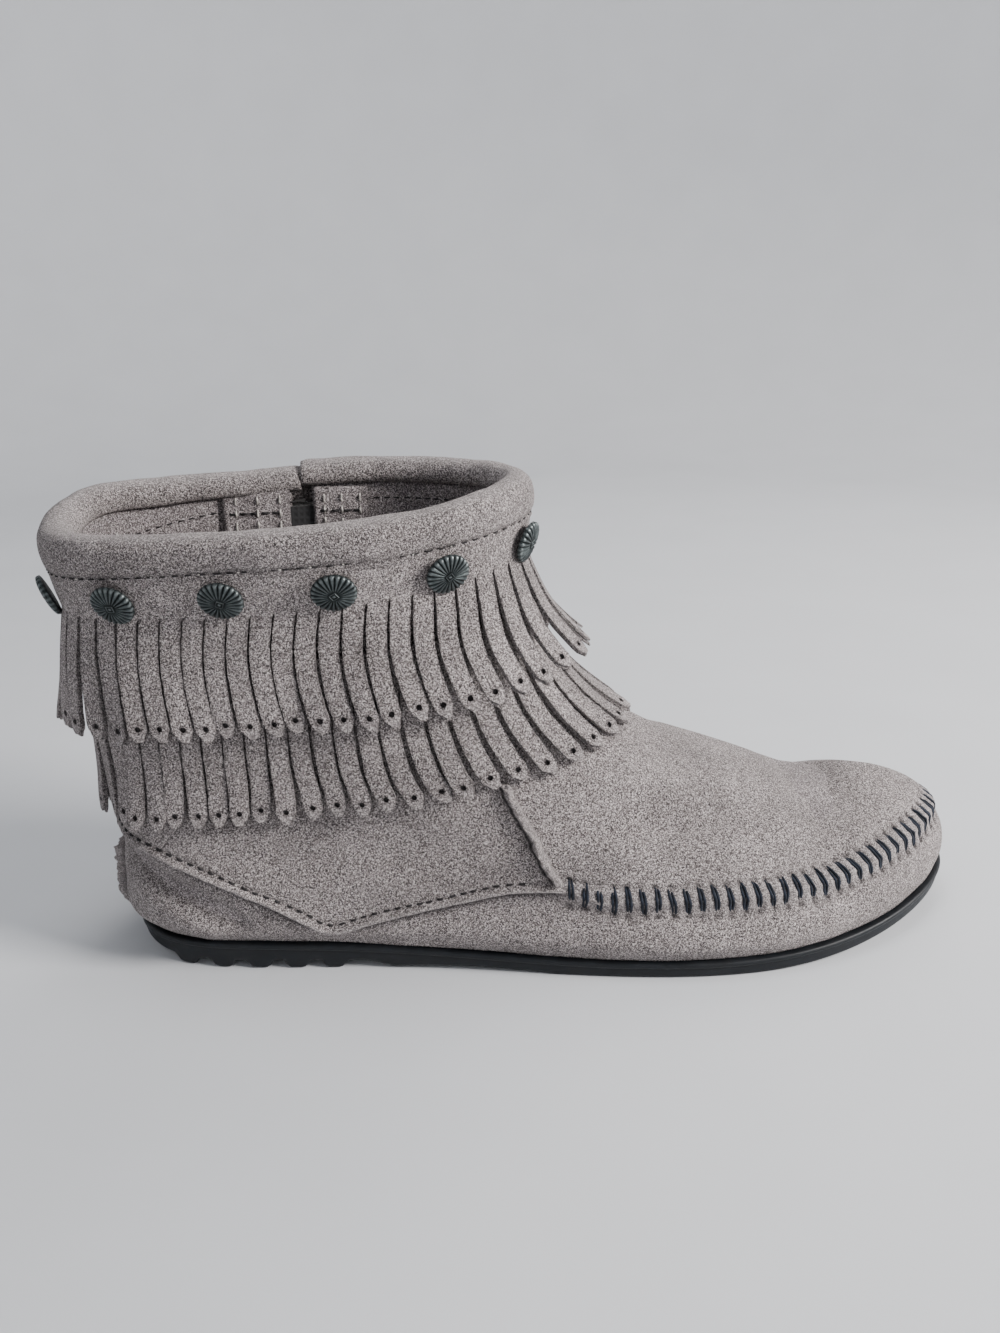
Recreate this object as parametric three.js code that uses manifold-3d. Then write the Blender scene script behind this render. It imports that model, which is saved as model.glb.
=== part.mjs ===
// Right ankle moccasin boot of soft suede, with a rolled collar, two rows of fringe, fluted metal discs,
// an apron toe and a zip on the inner side. Millimetres. X runs from heel to toe, Y to the inner side, Z up.
// The origin is on the floor under the middle of the heel.
import * as THREE from 'three';
import { mergeVertices } from 'three/addons/utils/BufferGeometryUtils.js';
import Module from 'manifold-3d';

const wasm = await Module();
wasm.setup();

// Sizes of the last and the shaft
const soleLength = 258;
const ballHalfWidth = 44.5;
const toeSwing = 7;
const wallHeight = 117.4;
const innerRise = 5;
const wall = 1.8;
const clearance = 0.3;
const overlap = 1;

// Sizes of the sole
const heelThickness = 8.6;
const foreThickness = 5;
const toeSpring = 6.9;
const heelBevel = 3.4;
const archHollow = 1.2;
const soleMargin = 1.8;
const lipHeight = 1.6;
const lipStep = 0.7;
const bottomBevel = 1.2;
const ribPitch = 11;
const ribHeight = 2.4;
const ribWidth = 6.4;
const ribFlat = 3.6;
const ribCount = 5;
const heelSetback = 31;
const insoleThickness = 2.4;

// Places along the sole, as shares of soleLength from its back
const wedgeEnd = 0.58;
const wedgeRun = 0.46;
const topSpringStart = 0.68;
const bottomSpringStart = 0.73;
const bevelEnd = 0.07;
const ribbedEnd = 0.33;
const ribbedRun = 0.05;
const archStart = 0.29;
const archRun = 0.21;

// Sizes of the collar's roll
const rollDrop = 7;
const rollRise = 3.5;
const rollOut = 5;
const rollIn = 4.4;

// Sizes of the fringe
const fringeThickness = 1.3;
const stripPitch = 6;
const slitWidth = 0.6;
const tipLength = 3;
const zipGap = 15;

// Sizes of the discs
const discRadius = 5.9;
const discRise = 2.1;
const discEdge = 0.6;
const discFlutes = 11;
const fluteRise = 0.5;
const hubShare = 0.25;
const discSpacing = 28.7;
const discBelowRoll = 6.4;

// Sizes of the raised seams
const seamWidth = 2.4;
const seamRise = 1.2;
const heelTabWidth = 9;
const heelTabRise = 2.2;

// Sizes of the zip
const slotWidth = 6.4;
const chainWidth = 5.4;
const chainProud = 0.4;
const tapeWidth = 22;
const tapeThickness = 0.8;
const zipFoot = 36;
const tapeTail = 6;
const tapeDrop = 3;
const chainDrop = 2;
const sliderWidth = 8.4;
const sliderLength = 10;
const sliderThickness = 2.2;
const sliderDrop = 2;
const pinRadius = 0.72;
const archWidth = 2.2;
const archThickness = 1.1;
const archPlay = 3.5;
const pullWidth = 6.4;
const pullLength = 20;
const pullThickness = 1.3;
const pullHole = 2.6;

// Places around the boot, as shares
const zipPlace = 0.497;
const swingStart = 0.35;
const waistPlace = 0.5;
const waistSpread = 0.22;
const waistPull = 0.2;
const waistTop = 6;
const innerRiseStart = 8;
const seamTopLevel = 4.5;
const firstDisc = 0.165;

// One row for each level of the wall, from the sole's edge to the collar. back and front are its ends along
// the foot, as shares of soleLength. backRise and frontRise are heights above the sole, and dip is the sag of
// its sides, as shares of wallHeight. w30 to w150 are half widths at 30 to 150 degrees from the heel round
// to the toe, as shares of ballHalfWidth.
const levelColumns = ['back', 'front', 'backRise', 'frontRise', 'dip', 'w30', 'w60', 'w90', 'w120', 'w150'];
const levelTable = [
  [0.0155, 0.996, 0, 0, 0, 0.5, 0.63, 0.833, 0.945, 0.551],
  [-0.003, 1.004, 0.055, 0.052, 0, 0.573, 0.685, 0.888, 0.998, 0.551],
  [0.001, 0.992, 0.14, 0.131, 0, 0.562, 0.67, 0.849, 0.921, 0.528],
  [0.002, 0.955, 0.225, 0.225, 0.006, 0.539, 0.652, 0.798, 0.8, 0.422],
  [0.003, 0.893, 0.302, 0.297, 0.017, 0.517, 0.629, 0.753, 0.73, 0.27],
  [0.002, 0.81, 0.37, 0.312, 0.017, 0.49, 0.611, 0.719, 0.708, 0.438],
  [0, 0.717, 0.446, 0.394, 0.017, 0.467, 0.607, 0.692, 0.681, 0.438],
  [-0.004, 0.632, 0.532, 0.468, 0.017, 0.456, 0.602, 0.67, 0.658, 0.416],
  [-0.01, 0.547, 0.642, 0.604, 0.012, 0.449, 0.607, 0.663, 0.647, 0.427],
  [-0.016, 0.494, 0.753, 0.763, 0.01, 0.449, 0.618, 0.674, 0.629, 0.416],
  [-0.018, 0.477, 0.864, 0.908, 0.017, 0.449, 0.64, 0.708, 0.652, 0.393],
  [-0.02, 0.469, 1, 1.116, 0.029, 0.449, 0.674, 0.764, 0.697, 0.404],
];

// The seam that parts the lower panel from the quarter and the apron, seen from the side.
// along is a share of soleLength and rise a share of wallHeight above the sole.
const seamColumns = ['along', 'rise'];
const seamTable = [
  [0, 0.262],
  [0.05, 0.25],
  [0.107, 0.193],
  [0.186, 0.111],
  [0.247, 0.036],
  [0.3, 0.078],
  [0.391, 0.138],
  [0.45, 0.176],
  [0.509, 0.186],
  [0.548, 0.16],
  [0.66, 0.154],
  [0.8, 0.148],
  [0.877, 0.156],
  [0.94, 0.162],
  [1, 0.16],
];

// The raised seam between quarter and vamp, on both sides, in the same shares
const sideSeamTable = [
  [0.5, 0.205],
  [0.484, 0.27],
  [0.467, 0.345],
  [0.452, 0.41],
  [0.443, 0.45],
];

// The two rows of fringe, outer one first. Heights above the sole are shares of wallHeight at the back and
// the front, with null where the leather starts right under the roll. topShare and tipShare are the parts of
// innerRise that the top and the tips follow on the inner side. The gaps are millimetres behind the leather
// at its top, its slits and its tips, and drift is how far the tips lag behind the wall's own lean.
const fringeColumns = ['name', 'topBack', 'topFront', 'slitBack', 'slitFront', 'tipBack', 'tipFront',
  'topShare', 'tipShare', 'topGap', 'slitGap', 'tipBackGap', 'tipSideGap', 'tipFrontGap', 'drift'];
const fringeTable = [
  ['fringe_upper', null, null, 0.853, 0.934, 0.6, 0.65, 1, 0.7, 1.6, 0.7, 7.4, 4.8, 9, 0.14],
  ['fringe_lower', 0.742, 0.813, 0.64, 0.71, 0.34, 0.495, 0.6, 0.3, 0.5, 0.5, 1.8, 1.9, 1.2, 0.32],
];

const columnCount = 44;
const lowerBands = 5;
const upperBands = 15;
const liningBands = 13;
const seamRun = 0.07;
const overlapFade = 2;
const topLevel = levelTable.length - 1;
const fringeSweep = 2.1;

const suede = new THREE.MeshStandardMaterial({ color: 0x8f817d, roughness: 0.95 });
const rawSuede = new THREE.MeshStandardMaterial({ color: 0x776c6a, roughness: 1 });
const innerSole = new THREE.MeshStandardMaterial({ color: 0xa39488, roughness: 0.9 });
const blackRubber = new THREE.MeshStandardMaterial({ color: 0x17191d, roughness: 0.55 });
const agedMetal = new THREE.MeshStandardMaterial({ color: 0x3d4644, roughness: 0.4, metalness: 0.9 });
const zipMetal = new THREE.MeshStandardMaterial({ color: 0x6d6a66, roughness: 0.35, metalness: 1 });
const zipCloth = new THREE.MeshStandardMaterial({ color: 0x3b3a3d, roughness: 0.9 });

function named(columns, table) {
  return table.map((row) => Object.fromEntries(row.map((value, i) => [columns[i], value])));
}

function lerp(a, b, u) {
  return a + (b - a) * u;
}

function clamp(value, low, high) {
  return Math.min(Math.max(value, low), high);
}

function smooth(u) {
  const c = clamp(u, 0, 1);
  return c * c * (3 - 2 * c);
}

function solve(low, high, tooLow) {
  let a = low;
  let b = high;
  for (let i = 0; i < 40; i += 1) {
    const middle = (a + b) / 2;
    if (tooLow(middle)) {
      a = middle;
    } else {
      b = middle;
    }
  }
  return (a + b) / 2;
}

// Half widths at five even angles become a sum of five sine waves, which is smooth right round the boot
const levels = named(levelColumns, levelTable).map((row) => {
  const widths = [row.w30, row.w60, row.w90, row.w120, row.w150];
  const steps = widths.length + 1;
  const waves = widths.map((_, k) => {
    const parts = widths.map((width, j) => width * Math.sin(((k + 1) * (j + 1) * Math.PI) / steps));
    return (2 / steps) * parts.reduce((sum, part) => sum + part, 0);
  });
  return [row.back, row.front, row.backRise, row.frontRise, row.dip, ...waves];
});

function levelAt(level) {
  const base = clamp(Math.floor(level), 0, topLevel - 1);
  const u = level - base;
  const row = (i) => {
    if (i < 0) {
      return levels[0].map((value, c) => 2 * value - levels[1][c]);
    }
    if (i > topLevel) {
      return levels[topLevel].map((value, c) => 2 * value - levels[topLevel - 1][c]);
    }
    return levels[i];
  };
  const [p, q, r, s] = [row(base - 1), row(base), row(base + 1), row(base + 2)];
  return q.map((value, c) => {
    const slope = (r[c] - p[c]) * u;
    const bend = (2 * p[c] - 5 * value + 4 * r[c] - s[c]) * u * u;
    const twist = (3 * value - p[c] - 3 * r[c] + s[c]) * u * u * u;
    return value + 0.5 * (slope + bend + twist);
  });
}

// Height of the sole's top face at a place along the foot
function soleTop(x) {
  const share = x / soleLength;
  const wedge = (heelThickness - foreThickness) * smooth((wedgeEnd - share) / wedgeRun);
  const spring = toeSpring * clamp((share - topSpringStart) / (1 - topSpringStart), 0, 1.1) ** 2;
  return foreThickness + wedge + spring;
}

// Height of the sole's underside, above its ribs
function soleBottom(x) {
  const share = x / soleLength;
  const bevel = heelBevel * clamp((bevelEnd - share) / bevelEnd, 0, 1) ** 2;
  const ribbed = ribHeight * smooth((ribbedEnd - share) / ribbedRun);
  const hollow = archHollow * Math.sin(Math.PI * clamp((share - archStart) / archRun, 0, 1));
  const spring = toeSpring * clamp((share - bottomSpringStart) / (1 - bottomSpringStart), 0, 1) ** 1.8;
  return Math.max(ribbed + bevel, hollow) + spring;
}

function centreLine(x) {
  const share = Math.max(x / soleLength - swingStart, 0) / (1 - swingStart);
  return toeSwing * share * share;
}

// A point on the wall's outer face. The angle starts at the heel and goes round the outer side to the toe.
function wallPoint(angle, level) {
  const [back, front, backRise, frontRise, dip, ...waves] = levelAt(level);
  const along = (1 - Math.cos(angle)) / 2;
  const side = Math.sin(angle);
  const x = soleLength * lerp(back, front, along);
  const half = waves.reduce((sum, wave, k) => sum + wave * Math.sin((k + 1) * angle), 0);
  const onInner = side < 0 ? 1 : 0;
  const waist = Math.exp(-(((along - waistPlace) / waistSpread) ** 2));
  const pull = onInner * waistPull * waist * clamp(1 - level / waistTop, 0, 1) ** 1.5;
  const risen = smooth((level - innerRiseStart) / (topLevel - innerRiseStart));
  const lift = onInner * innerRise * side * side * risen;
  const rise = lerp(backRise, frontRise, along) - dip * along * side * side;
  const y = centreLine(x) - ballHalfWidth * half * (1 - pull);
  return new THREE.Vector3(x, y, soleTop(x) + clearance + wallHeight * rise + lift);
}

function wallNormal(angle, level) {
  const turn = 0.003;
  const step = 0.02;
  const around = wallPoint(angle + turn, level).sub(wallPoint(angle - turn, level));
  const upper = wallPoint(angle, Math.min(level + step, topLevel));
  const up = upper.sub(wallPoint(angle, Math.max(level - step, 0)));
  return around.cross(up).normalize();
}

function seamRiseAt(share) {
  const rows = named(seamColumns, seamTable);
  const next = rows.findIndex((row) => row.along > share);
  if (next < 0) {
    return rows[rows.length - 1].rise;
  }
  if (next === 0) {
    return rows[0].rise;
  }
  const [a, b] = [rows[next - 1], rows[next]];
  return lerp(a.rise, b.rise, (share - a.along) / (b.along - a.along));
}

function seamLevel(angle) {
  return solve(0, seamTopLevel, (level) => {
    const point = wallPoint(angle, level);
    const height = soleTop(point.x) + clearance + wallHeight * seamRiseAt(point.x / soleLength);
    return point.z < height;
  });
}

// The panels above the seam lie over the lower one, and the step fades out higher up
function panelStep(angle, level) {
  const above = level - seamLevel(angle);
  return above > 0 ? overlap * Math.exp(-above / overlapFade) : 0;
}

function offsetPoint(angle, level, offset) {
  return wallPoint(angle, level).addScaledVector(wallNormal(angle, level), offset);
}

function skinPoint(angle, level, offset) {
  return offsetPoint(angle, level, offset + panelStep(angle, level));
}

function levelAtHeight(angle, height) {
  return solve(0, topLevel, (level) => wallPoint(angle, level).z < height);
}

// The place on one side of the wall that is seen at x and z from that side
function sideSpot(x, z, inner) {
  const angleAt = (level) => {
    const [back, front] = levelAt(level);
    const along = clamp((x / soleLength - back) / (front - back), 0, 1);
    const angle = Math.acos(1 - 2 * along);
    return inner ? 2 * Math.PI - angle : angle;
  };
  const level = solve(0, topLevel, (trial) => wallPoint(angleAt(trial), trial).z < z);
  return { angle: angleAt(level), level };
}

// The level normal of a ring of the wall
function flatNormal(angle, level) {
  const around = wallPoint(angle + 0.003, level).sub(wallPoint(angle - 0.003, level));
  return new THREE.Vector3(around.y, -around.x, 0).normalize();
}

function closedGeometry(points, triangles) {
  let volume = 0;
  for (const [a, b, c] of triangles) {
    volume += points[a].dot(new THREE.Vector3().crossVectors(points[b], points[c]));
  }
  const ordered = volume < 0 ? triangles.map(([a, b, c]) => [a, c, b]) : triangles;
  const geometry = new THREE.BufferGeometry();
  geometry.setAttribute('position', new THREE.Float32BufferAttribute(points.flatMap((p) => p.toArray()), 3));
  geometry.setIndex(ordered.flat());
  return geometry;
}

// Rings that close on themselves both ways, as round a hollow wall
function ringGeometry(rings) {
  const count = rings[0].length;
  const triangles = [];
  rings.forEach((_, k) => {
    const next = (k + 1) % rings.length;
    for (let i = 0; i < count; i += 1) {
      const j = (i + 1) % count;
      const [a, b, c, d] = [k * count + i, k * count + j, next * count + j, next * count + i];
      triangles.push([a, b, c], [a, c, d]);
    }
  });
  return closedGeometry(rings.flat(), triangles);
}

// Rings stacked from bottom to top and closed by caps that run straight across the boot
function slabGeometry(rings) {
  const count = rings[0].length;
  const triangles = [];
  for (let k = 0; k + 1 < rings.length; k += 1) {
    for (let i = 0; i < count; i += 1) {
      const j = (i + 1) % count;
      const [a, b, c, d] = [k * count + i, k * count + j, (k + 1) * count + j, (k + 1) * count + i];
      triangles.push([a, b, c], [a, c, d]);
    }
  }
  const topStart = (rings.length - 1) * count;
  const cap = (a, b, c) => {
    if (a !== b && b !== c && a !== c) {
      triangles.push([a, c, b], [a + topStart, b + topStart, c + topStart]);
    }
  };
  for (let i = 0; i < count / 2; i += 1) {
    const [a, b, c, d] = [i, i + 1, count - i - 1, (count - i) % count];
    cap(a, b, c);
    cap(a, c, d);
  }
  return closedGeometry(rings.flat(), triangles);
}

// A sheet given by matching outer and inner points: the faces between them close its free edges
function sheetGeometry(outer, inner, faces) {
  const edges = new Set();
  for (const [a, b, c] of faces) {
    edges.add(`${a},${b}`).add(`${b},${c}`).add(`${c},${a}`);
  }
  const shift = outer.length;
  const triangles = [...faces];
  for (const [a, b, c] of faces) {
    triangles.push([c + shift, b + shift, a + shift]);
    for (const [from, to] of [[a, b], [b, c], [c, a]]) {
      if (!edges.has(`${to},${from}`)) {
        triangles.push([to, from, from + shift], [to, from + shift, to + shift]);
      }
    }
  }
  return closedGeometry([...outer, ...inner], triangles);
}

function gridFaces(rows, columns) {
  const faces = [];
  for (let r = 0; r + 1 < rows; r += 1) {
    for (let c = 0; c + 1 < columns; c += 1) {
      const a = r * columns + c;
      faces.push([a, a + columns, a + columns + 1], [a, a + columns + 1, a + 1]);
    }
  }
  return faces;
}

function toSolid(geometry) {
  const bare = new THREE.BufferGeometry();
  bare.setAttribute('position', geometry.getAttribute('position').clone());
  if (geometry.index) {
    bare.setIndex(geometry.index.clone());
  }
  const merged = mergeVertices(bare, 1e-4);
  return new wasm.Manifold(new wasm.Mesh({
    numProp: 3,
    vertProperties: new Float32Array(merged.getAttribute('position').array),
    triVerts: new Uint32Array(merged.index.array),
  }));
}

function toGeometry(solid) {
  const mesh = solid.getMesh();
  const geometry = new THREE.BufferGeometry();
  geometry.setAttribute('position', new THREE.Float32BufferAttribute(mesh.vertProperties, 3));
  geometry.setIndex([...mesh.triVerts]);
  return geometry;
}

function boxAt(width, depth, height, x, y, z) {
  return new THREE.BoxGeometry(width, depth, height).translate(x, y, z);
}

function cutting(geometry, cutter) {
  return toGeometry(toSolid(geometry).subtract(toSolid(cutter)));
}

function part(name, geometry, material) {
  const mesh = new THREE.Mesh(geometry, material);
  mesh.name = name;
  return mesh;
}

const columnAngles = Array.from({ length: columnCount }, (_, i) => (i * 2 * Math.PI) / columnCount);
const collarBack = soleLength * levels[topLevel][0];
const collarFront = soleLength * levels[topLevel][1];
const zipX = lerp(collarBack, collarFront, zipPlace);
const zipAngle = 2 * Math.PI - Math.acos(1 - 2 * zipPlace);
const zipRim = wallPoint(zipAngle, topLevel).z;

// The slot for the zip goes right through the inner side, from its foot up past the collar
function zipSlot() {
  const top = zipRim + 2 * rollRise;
  return boxAt(slotWidth, ballHalfWidth, top - zipFoot, zipX, ballHalfWidth * 0.75, (top + zipFoot) / 2);
}

function upperGeometry() {
  const rings = [];
  for (let k = 0; k <= lowerBands; k += 1) {
    rings.push(columnAngles.map((angle) => wallPoint(angle, (seamLevel(angle) * k) / lowerBands)));
  }
  for (let k = 0; k <= upperBands; k += 1) {
    rings.push(columnAngles.map((angle) => {
      const start = seamLevel(angle) + seamRun;
      return skinPoint(angle, lerp(start, topLevel, k / upperBands), 0);
    }));
  }
  for (let k = liningBands; k >= 0; k -= 1) {
    const level = (topLevel * k) / liningBands;
    rings.push(columnAngles.map((angle) => offsetPoint(angle, level, -wall)));
  }
  return cutting(ringGeometry(rings), zipSlot());
}

// The roll folds over the collar's edge. Its section is drawn as places out from the wall and up from the
// edge, and the part below the edge follows the wall down.
function rollGeometry() {
  const section = [
    [rollOut * 0.72, -rollDrop],
    [rollOut * 0.95, -rollDrop * 0.5],
    [rollOut, -rollDrop * 0.1],
    [rollOut * 0.78, rollRise * 0.55],
    [rollOut * 0.32, rollRise * 0.94],
    [-rollIn * 0.2, rollRise],
    [-rollIn * 0.75, rollRise * 0.65],
    [-rollIn * 1.05, -rollDrop * 0.05],
    [-rollIn * 1.1, -rollDrop * 0.5],
    [-rollIn * 0.85, -rollDrop * 1.05],
    [-wall - clearance * 1.6, -rollDrop * 1.05],
    [-wall - clearance * 1.6, clearance],
    [clearance * 1.6, clearance],
    [clearance * 1.6, -rollDrop],
  ];
  const rings = section.map(([out, up]) => columnAngles.map((angle) => {
    const rim = wallPoint(angle, topLevel);
    const level = up < 0 ? levelAtHeight(angle, rim.z + up) : topLevel;
    const foot = wallPoint(angle, level);
    foot.z = rim.z + up;
    return foot.addScaledVector(flatNormal(angle, topLevel), out);
  }));
  return cutting(ringGeometry(rings), zipSlot());
}

// The height of a fringe line at an angle, from its shares at the back and the front
function fringeHeight(angle, back, front, innerShare) {
  const along = (1 - Math.cos(angle)) / 2;
  const side = Math.sin(angle);
  const lift = side < 0 ? innerShare * innerRise * side * side : 0;
  return heelThickness + wallHeight * lerp(back, front, along ** fringeSweep) + lift;
}

function topHeight(layer, angle) {
  if (layer.topBack === null) {
    return wallPoint(angle, topLevel).z - rollDrop - clearance;
  }
  return fringeHeight(angle, layer.topBack, layer.topFront, layer.topShare);
}

function slitHeight(layer, angle) {
  return fringeHeight(angle, layer.slitBack, layer.slitFront, layer.topShare);
}

function tipHeight(layer, angle) {
  return fringeHeight(angle, layer.tipBack, layer.tipFront, layer.tipShare);
}

// The band above the slits is straight from its top to the slits, so share 0 is its top and 1 the slits
function bandPoint(layer, angle, share, offset) {
  const top = skinPoint(angle, levelAtHeight(angle, topHeight(layer, angle)), layer.topGap + offset);
  const foot = skinPoint(angle, levelAtHeight(angle, slitHeight(layer, angle)), layer.slitGap + offset);
  return top.lerp(foot, share);
}

// Below the slits a strip hangs clear of the wall, most at the back and the front: share 1 is its tip
function stripPoint(layer, angle, share, offset) {
  const back = Math.max(Math.cos(angle), 0) ** 2;
  const front = Math.max(-Math.cos(angle), 0) ** 2;
  const side = 1 - back - front;
  const tipGap = back * layer.tipBackGap + front * layer.tipFrontGap + side * layer.tipSideGap;
  const height = lerp(slitHeight(layer, angle), tipHeight(layer, angle), share);
  const turned = angle - layer.drift * Math.sin(angle) * share;
  return skinPoint(turned, levelAtHeight(turned, height), lerp(layer.slitGap, tipGap, share) + offset);
}

function fringeGeometry(layer) {
  const slitPoint = (angle) => bandPoint(layer, angle, 1, 0);

  // Even strips along the line of the slits, from one edge of the zip round to the other
  const samples = 720;
  const lengths = [0];
  let last = slitPoint(zipAngle);
  for (let i = 1; i <= samples; i += 1) {
    const point = slitPoint(zipAngle + (i * 2 * Math.PI) / samples);
    lengths.push(lengths[i - 1] + point.distanceTo(last));
    last = point;
  }
  const angleAt = (distance) => {
    const next = clamp(lengths.findIndex((length) => length > distance), 1, samples);
    const u = (distance - lengths[next - 1]) / (lengths[next] - lengths[next - 1]);
    return zipAngle + ((next - 1 + u) * 2 * Math.PI) / samples;
  };
  const room = lengths[samples] - zipGap;
  const count = Math.round(room / stripPitch);
  const pitch = room / count;
  const edges = [];
  for (let i = 0; i < count; i += 1) {
    edges.push(angleAt(zipGap / 2 + i * pitch + slitWidth / 2));
    edges.push(angleAt(zipGap / 2 + (i + 1) * pitch - slitWidth / 2));
  }

  // Rows of the leather: its top, the slits, the middle of the strips and the shoulders of their tips
  const shoulder = (angle) => 1 - tipLength / (slitHeight(layer, angle) - tipHeight(layer, angle));
  const rowPoint = [
    (angle, offset) => bandPoint(layer, angle, 0, offset),
    (angle, offset) => bandPoint(layer, angle, 1, offset),
    (angle, offset) => stripPoint(layer, angle, 0.5, offset),
    (angle, offset) => stripPoint(layer, angle, shoulder(angle), offset),
  ];
  const slitRow = 1;
  const shoulderRow = rowPoint.length - 1;
  const columns = edges.length;
  const layout = (offset) => {
    const points = rowPoint.flatMap((place) => edges.map((angle) => place(angle, offset)));
    for (let i = 0; i < count; i += 1) {
      const middle = (edges[2 * i] + edges[2 * i + 1]) / 2;
      points.push(stripPoint(layer, middle, 1, offset));
    }
    return points;
  };
  const faces = [];
  for (let r = 0; r < shoulderRow; r += 1) {
    for (let c = 0; c + 1 < columns; c += 1) {
      const onStrip = c % 2 === 0;
      if (r < slitRow || onStrip) {
        const a = r * columns + c;
        faces.push([a, a + columns, a + columns + 1], [a, a + columns + 1, a + 1]);
      }
    }
  }
  for (let i = 0; i < count; i += 1) {
    const left = shoulderRow * columns + 2 * i;
    faces.push([left, rowPoint.length * columns + i, left + 1]);
  }
  return sheetGeometry(layout(fringeThickness), layout(0), faces);
}

// Fluted discs sit on the upper fringe's band, evenly spaced both ways from the first one behind the ankle
function discFrames() {
  const upper = named(fringeColumns, fringeTable)[0];
  const facePoint = (angle, share) => bandPoint(upper, angle, share, fringeThickness);
  const rootPoint = (angle, share) => stripPoint(upper, angle, share * 0.2, fringeThickness);
  const centre = (angle) => {
    return facePoint(angle, discBelowRoll / (topHeight(upper, angle) - slitHeight(upper, angle)));
  };
  const step = 0.01;
  const walk = (start, turn, reach) => {
    let angle = start;
    let travelled = 0;
    let last = centre(start);
    while (travelled < reach) {
      angle += turn * step;
      const point = centre(angle);
      travelled += point.distanceTo(last);
      last = point;
    }
    return angle;
  };
  // How far the bent band, or the root of a strip, stands out past the flat back of a disc
  const proudest = (angle, middle, normal) => {
    let most = 0;
    for (let turn = -0.4; turn <= 0.4; turn += 0.04) {
      for (let share = 0; share <= 1; share += 0.125) {
        for (const point of [facePoint(angle + turn, share), rootPoint(angle + turn, share)]) {
          const away = point.sub(middle);
          const height = away.dot(normal);
          if (away.addScaledVector(normal, -height).length() < discRadius + clearance) {
            most = Math.max(most, height);
          }
        }
      }
    }
    return most;
  };
  const first = Math.acos(1 - 2 * firstDisc);
  const clear = (zipGap / 2 + discRadius) / ballHalfWidth;
  const lowest = zipAngle - 2 * Math.PI + clear;
  const highest = zipAngle - clear;
  const angles = [first];
  for (let angle = walk(first, 1, discSpacing); angle < highest; angle = walk(angle, 1, discSpacing)) {
    angles.push(angle);
  }
  for (let angle = walk(first, -1, discSpacing); angle > lowest; angle = walk(angle, -1, discSpacing)) {
    angles.unshift(angle);
  }
  return angles.map((angle) => {
    const middle = centre(angle);
    const upward = facePoint(angle, 0).sub(facePoint(angle, 1));
    const normal = centre(angle + 5 * step).sub(centre(angle - 5 * step)).cross(upward).normalize();
    const seat = proudest(angle, middle, normal) + 1.5 * clearance;
    return { position: middle.addScaledVector(normal, seat), normal };
  });
}

// A domed disc whose rim rises and falls with its flutes
function discGeometry() {
  const rim = 2 * discFlutes;
  const points = [new THREE.Vector3(0, 0, 0), new THREE.Vector3(0, discRise, 0)];
  const ring = (radius, height, wave) => {
    for (let i = 0; i < rim; i += 1) {
      const angle = (i * 2 * Math.PI) / rim;
      const ridge = i % 2 === 0 ? wave : 0;
      points.push(new THREE.Vector3(radius * Math.cos(angle), height + ridge, radius * Math.sin(angle)));
    }
  };
  ring(discRadius, 0, 0);
  ring(discRadius, discEdge, fluteRise);
  ring(discRadius * hubShare, discRise * (1 - hubShare / 2), 0);
  const triangles = [];
  const at = (k, i) => 2 + k * rim + (i % rim);
  for (let i = 0; i < rim; i += 1) {
    triangles.push([0, at(0, i), at(0, i + 1)], [at(2, i), 1, at(2, i + 1)]);
    for (let k = 0; k < 2; k += 1) {
      triangles.push([at(k, i), at(k + 1, i), at(k + 1, i + 1)], [at(k, i), at(k + 1, i + 1), at(k, i + 1)]);
    }
  }
  return closedGeometry(points, triangles);
}

// A strip that follows the wall between two offsets, given by its places along and across
function stripGeometry(spots, low, high, place) {
  const rows = spots.length;
  const columns = spots[0].length;
  const layout = (offset) => spots.flat().map(({ angle, level }) => place(angle, level, offset));
  return sheetGeometry(layout(high), layout(low), gridFaces(rows, columns));
}

function sideSeamGeometry(inner) {
  const spots = sideSeamTable.map(([along, rise]) => [-0.5, 0.5].map((share) => {
    const x = along * soleLength;
    return sideSpot(x + share * seamWidth, soleTop(x) + clearance + rise * wallHeight, inner);
  }));
  return stripGeometry(spots, 1.5 * clearance, seamRise, skinPoint);
}

function heelTabGeometry() {
  const [, , , , , ...waves] = levels[1];
  const slope = ballHalfWidth * waves.reduce((sum, wave, k) => sum + (k + 1) * wave, 0);
  const spots = [0.3, 0.9, 1.5, 2.1, 2.7].map((level) => {
    return [-0.5, -0.17, 0.17, 0.5].map((share) => {
      return { angle: (share * heelTabWidth) / slope, level };
    });
  });
  return stripGeometry(spots, clearance, heelTabRise, skinPoint);
}

// Strips of the zip run straight down the inner side
function zipStrip(width, acrossShares, top, foot, low, high) {
  const steps = 11;
  const spots = Array.from({ length: steps + 1 }, (_, i) => {
    const z = lerp(top, foot, i / steps);
    return acrossShares.map((share) => sideSpot(zipX + share * width, z, true));
  });
  return stripGeometry(spots, low, high, offsetPoint);
}

function outlineRing(height, out) {
  return columnAngles.map((angle) => {
    const edge = wallPoint(angle, 0).addScaledVector(flatNormal(angle, 0), out);
    edge.z = height(edge.x);
    return edge;
  });
}

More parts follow.
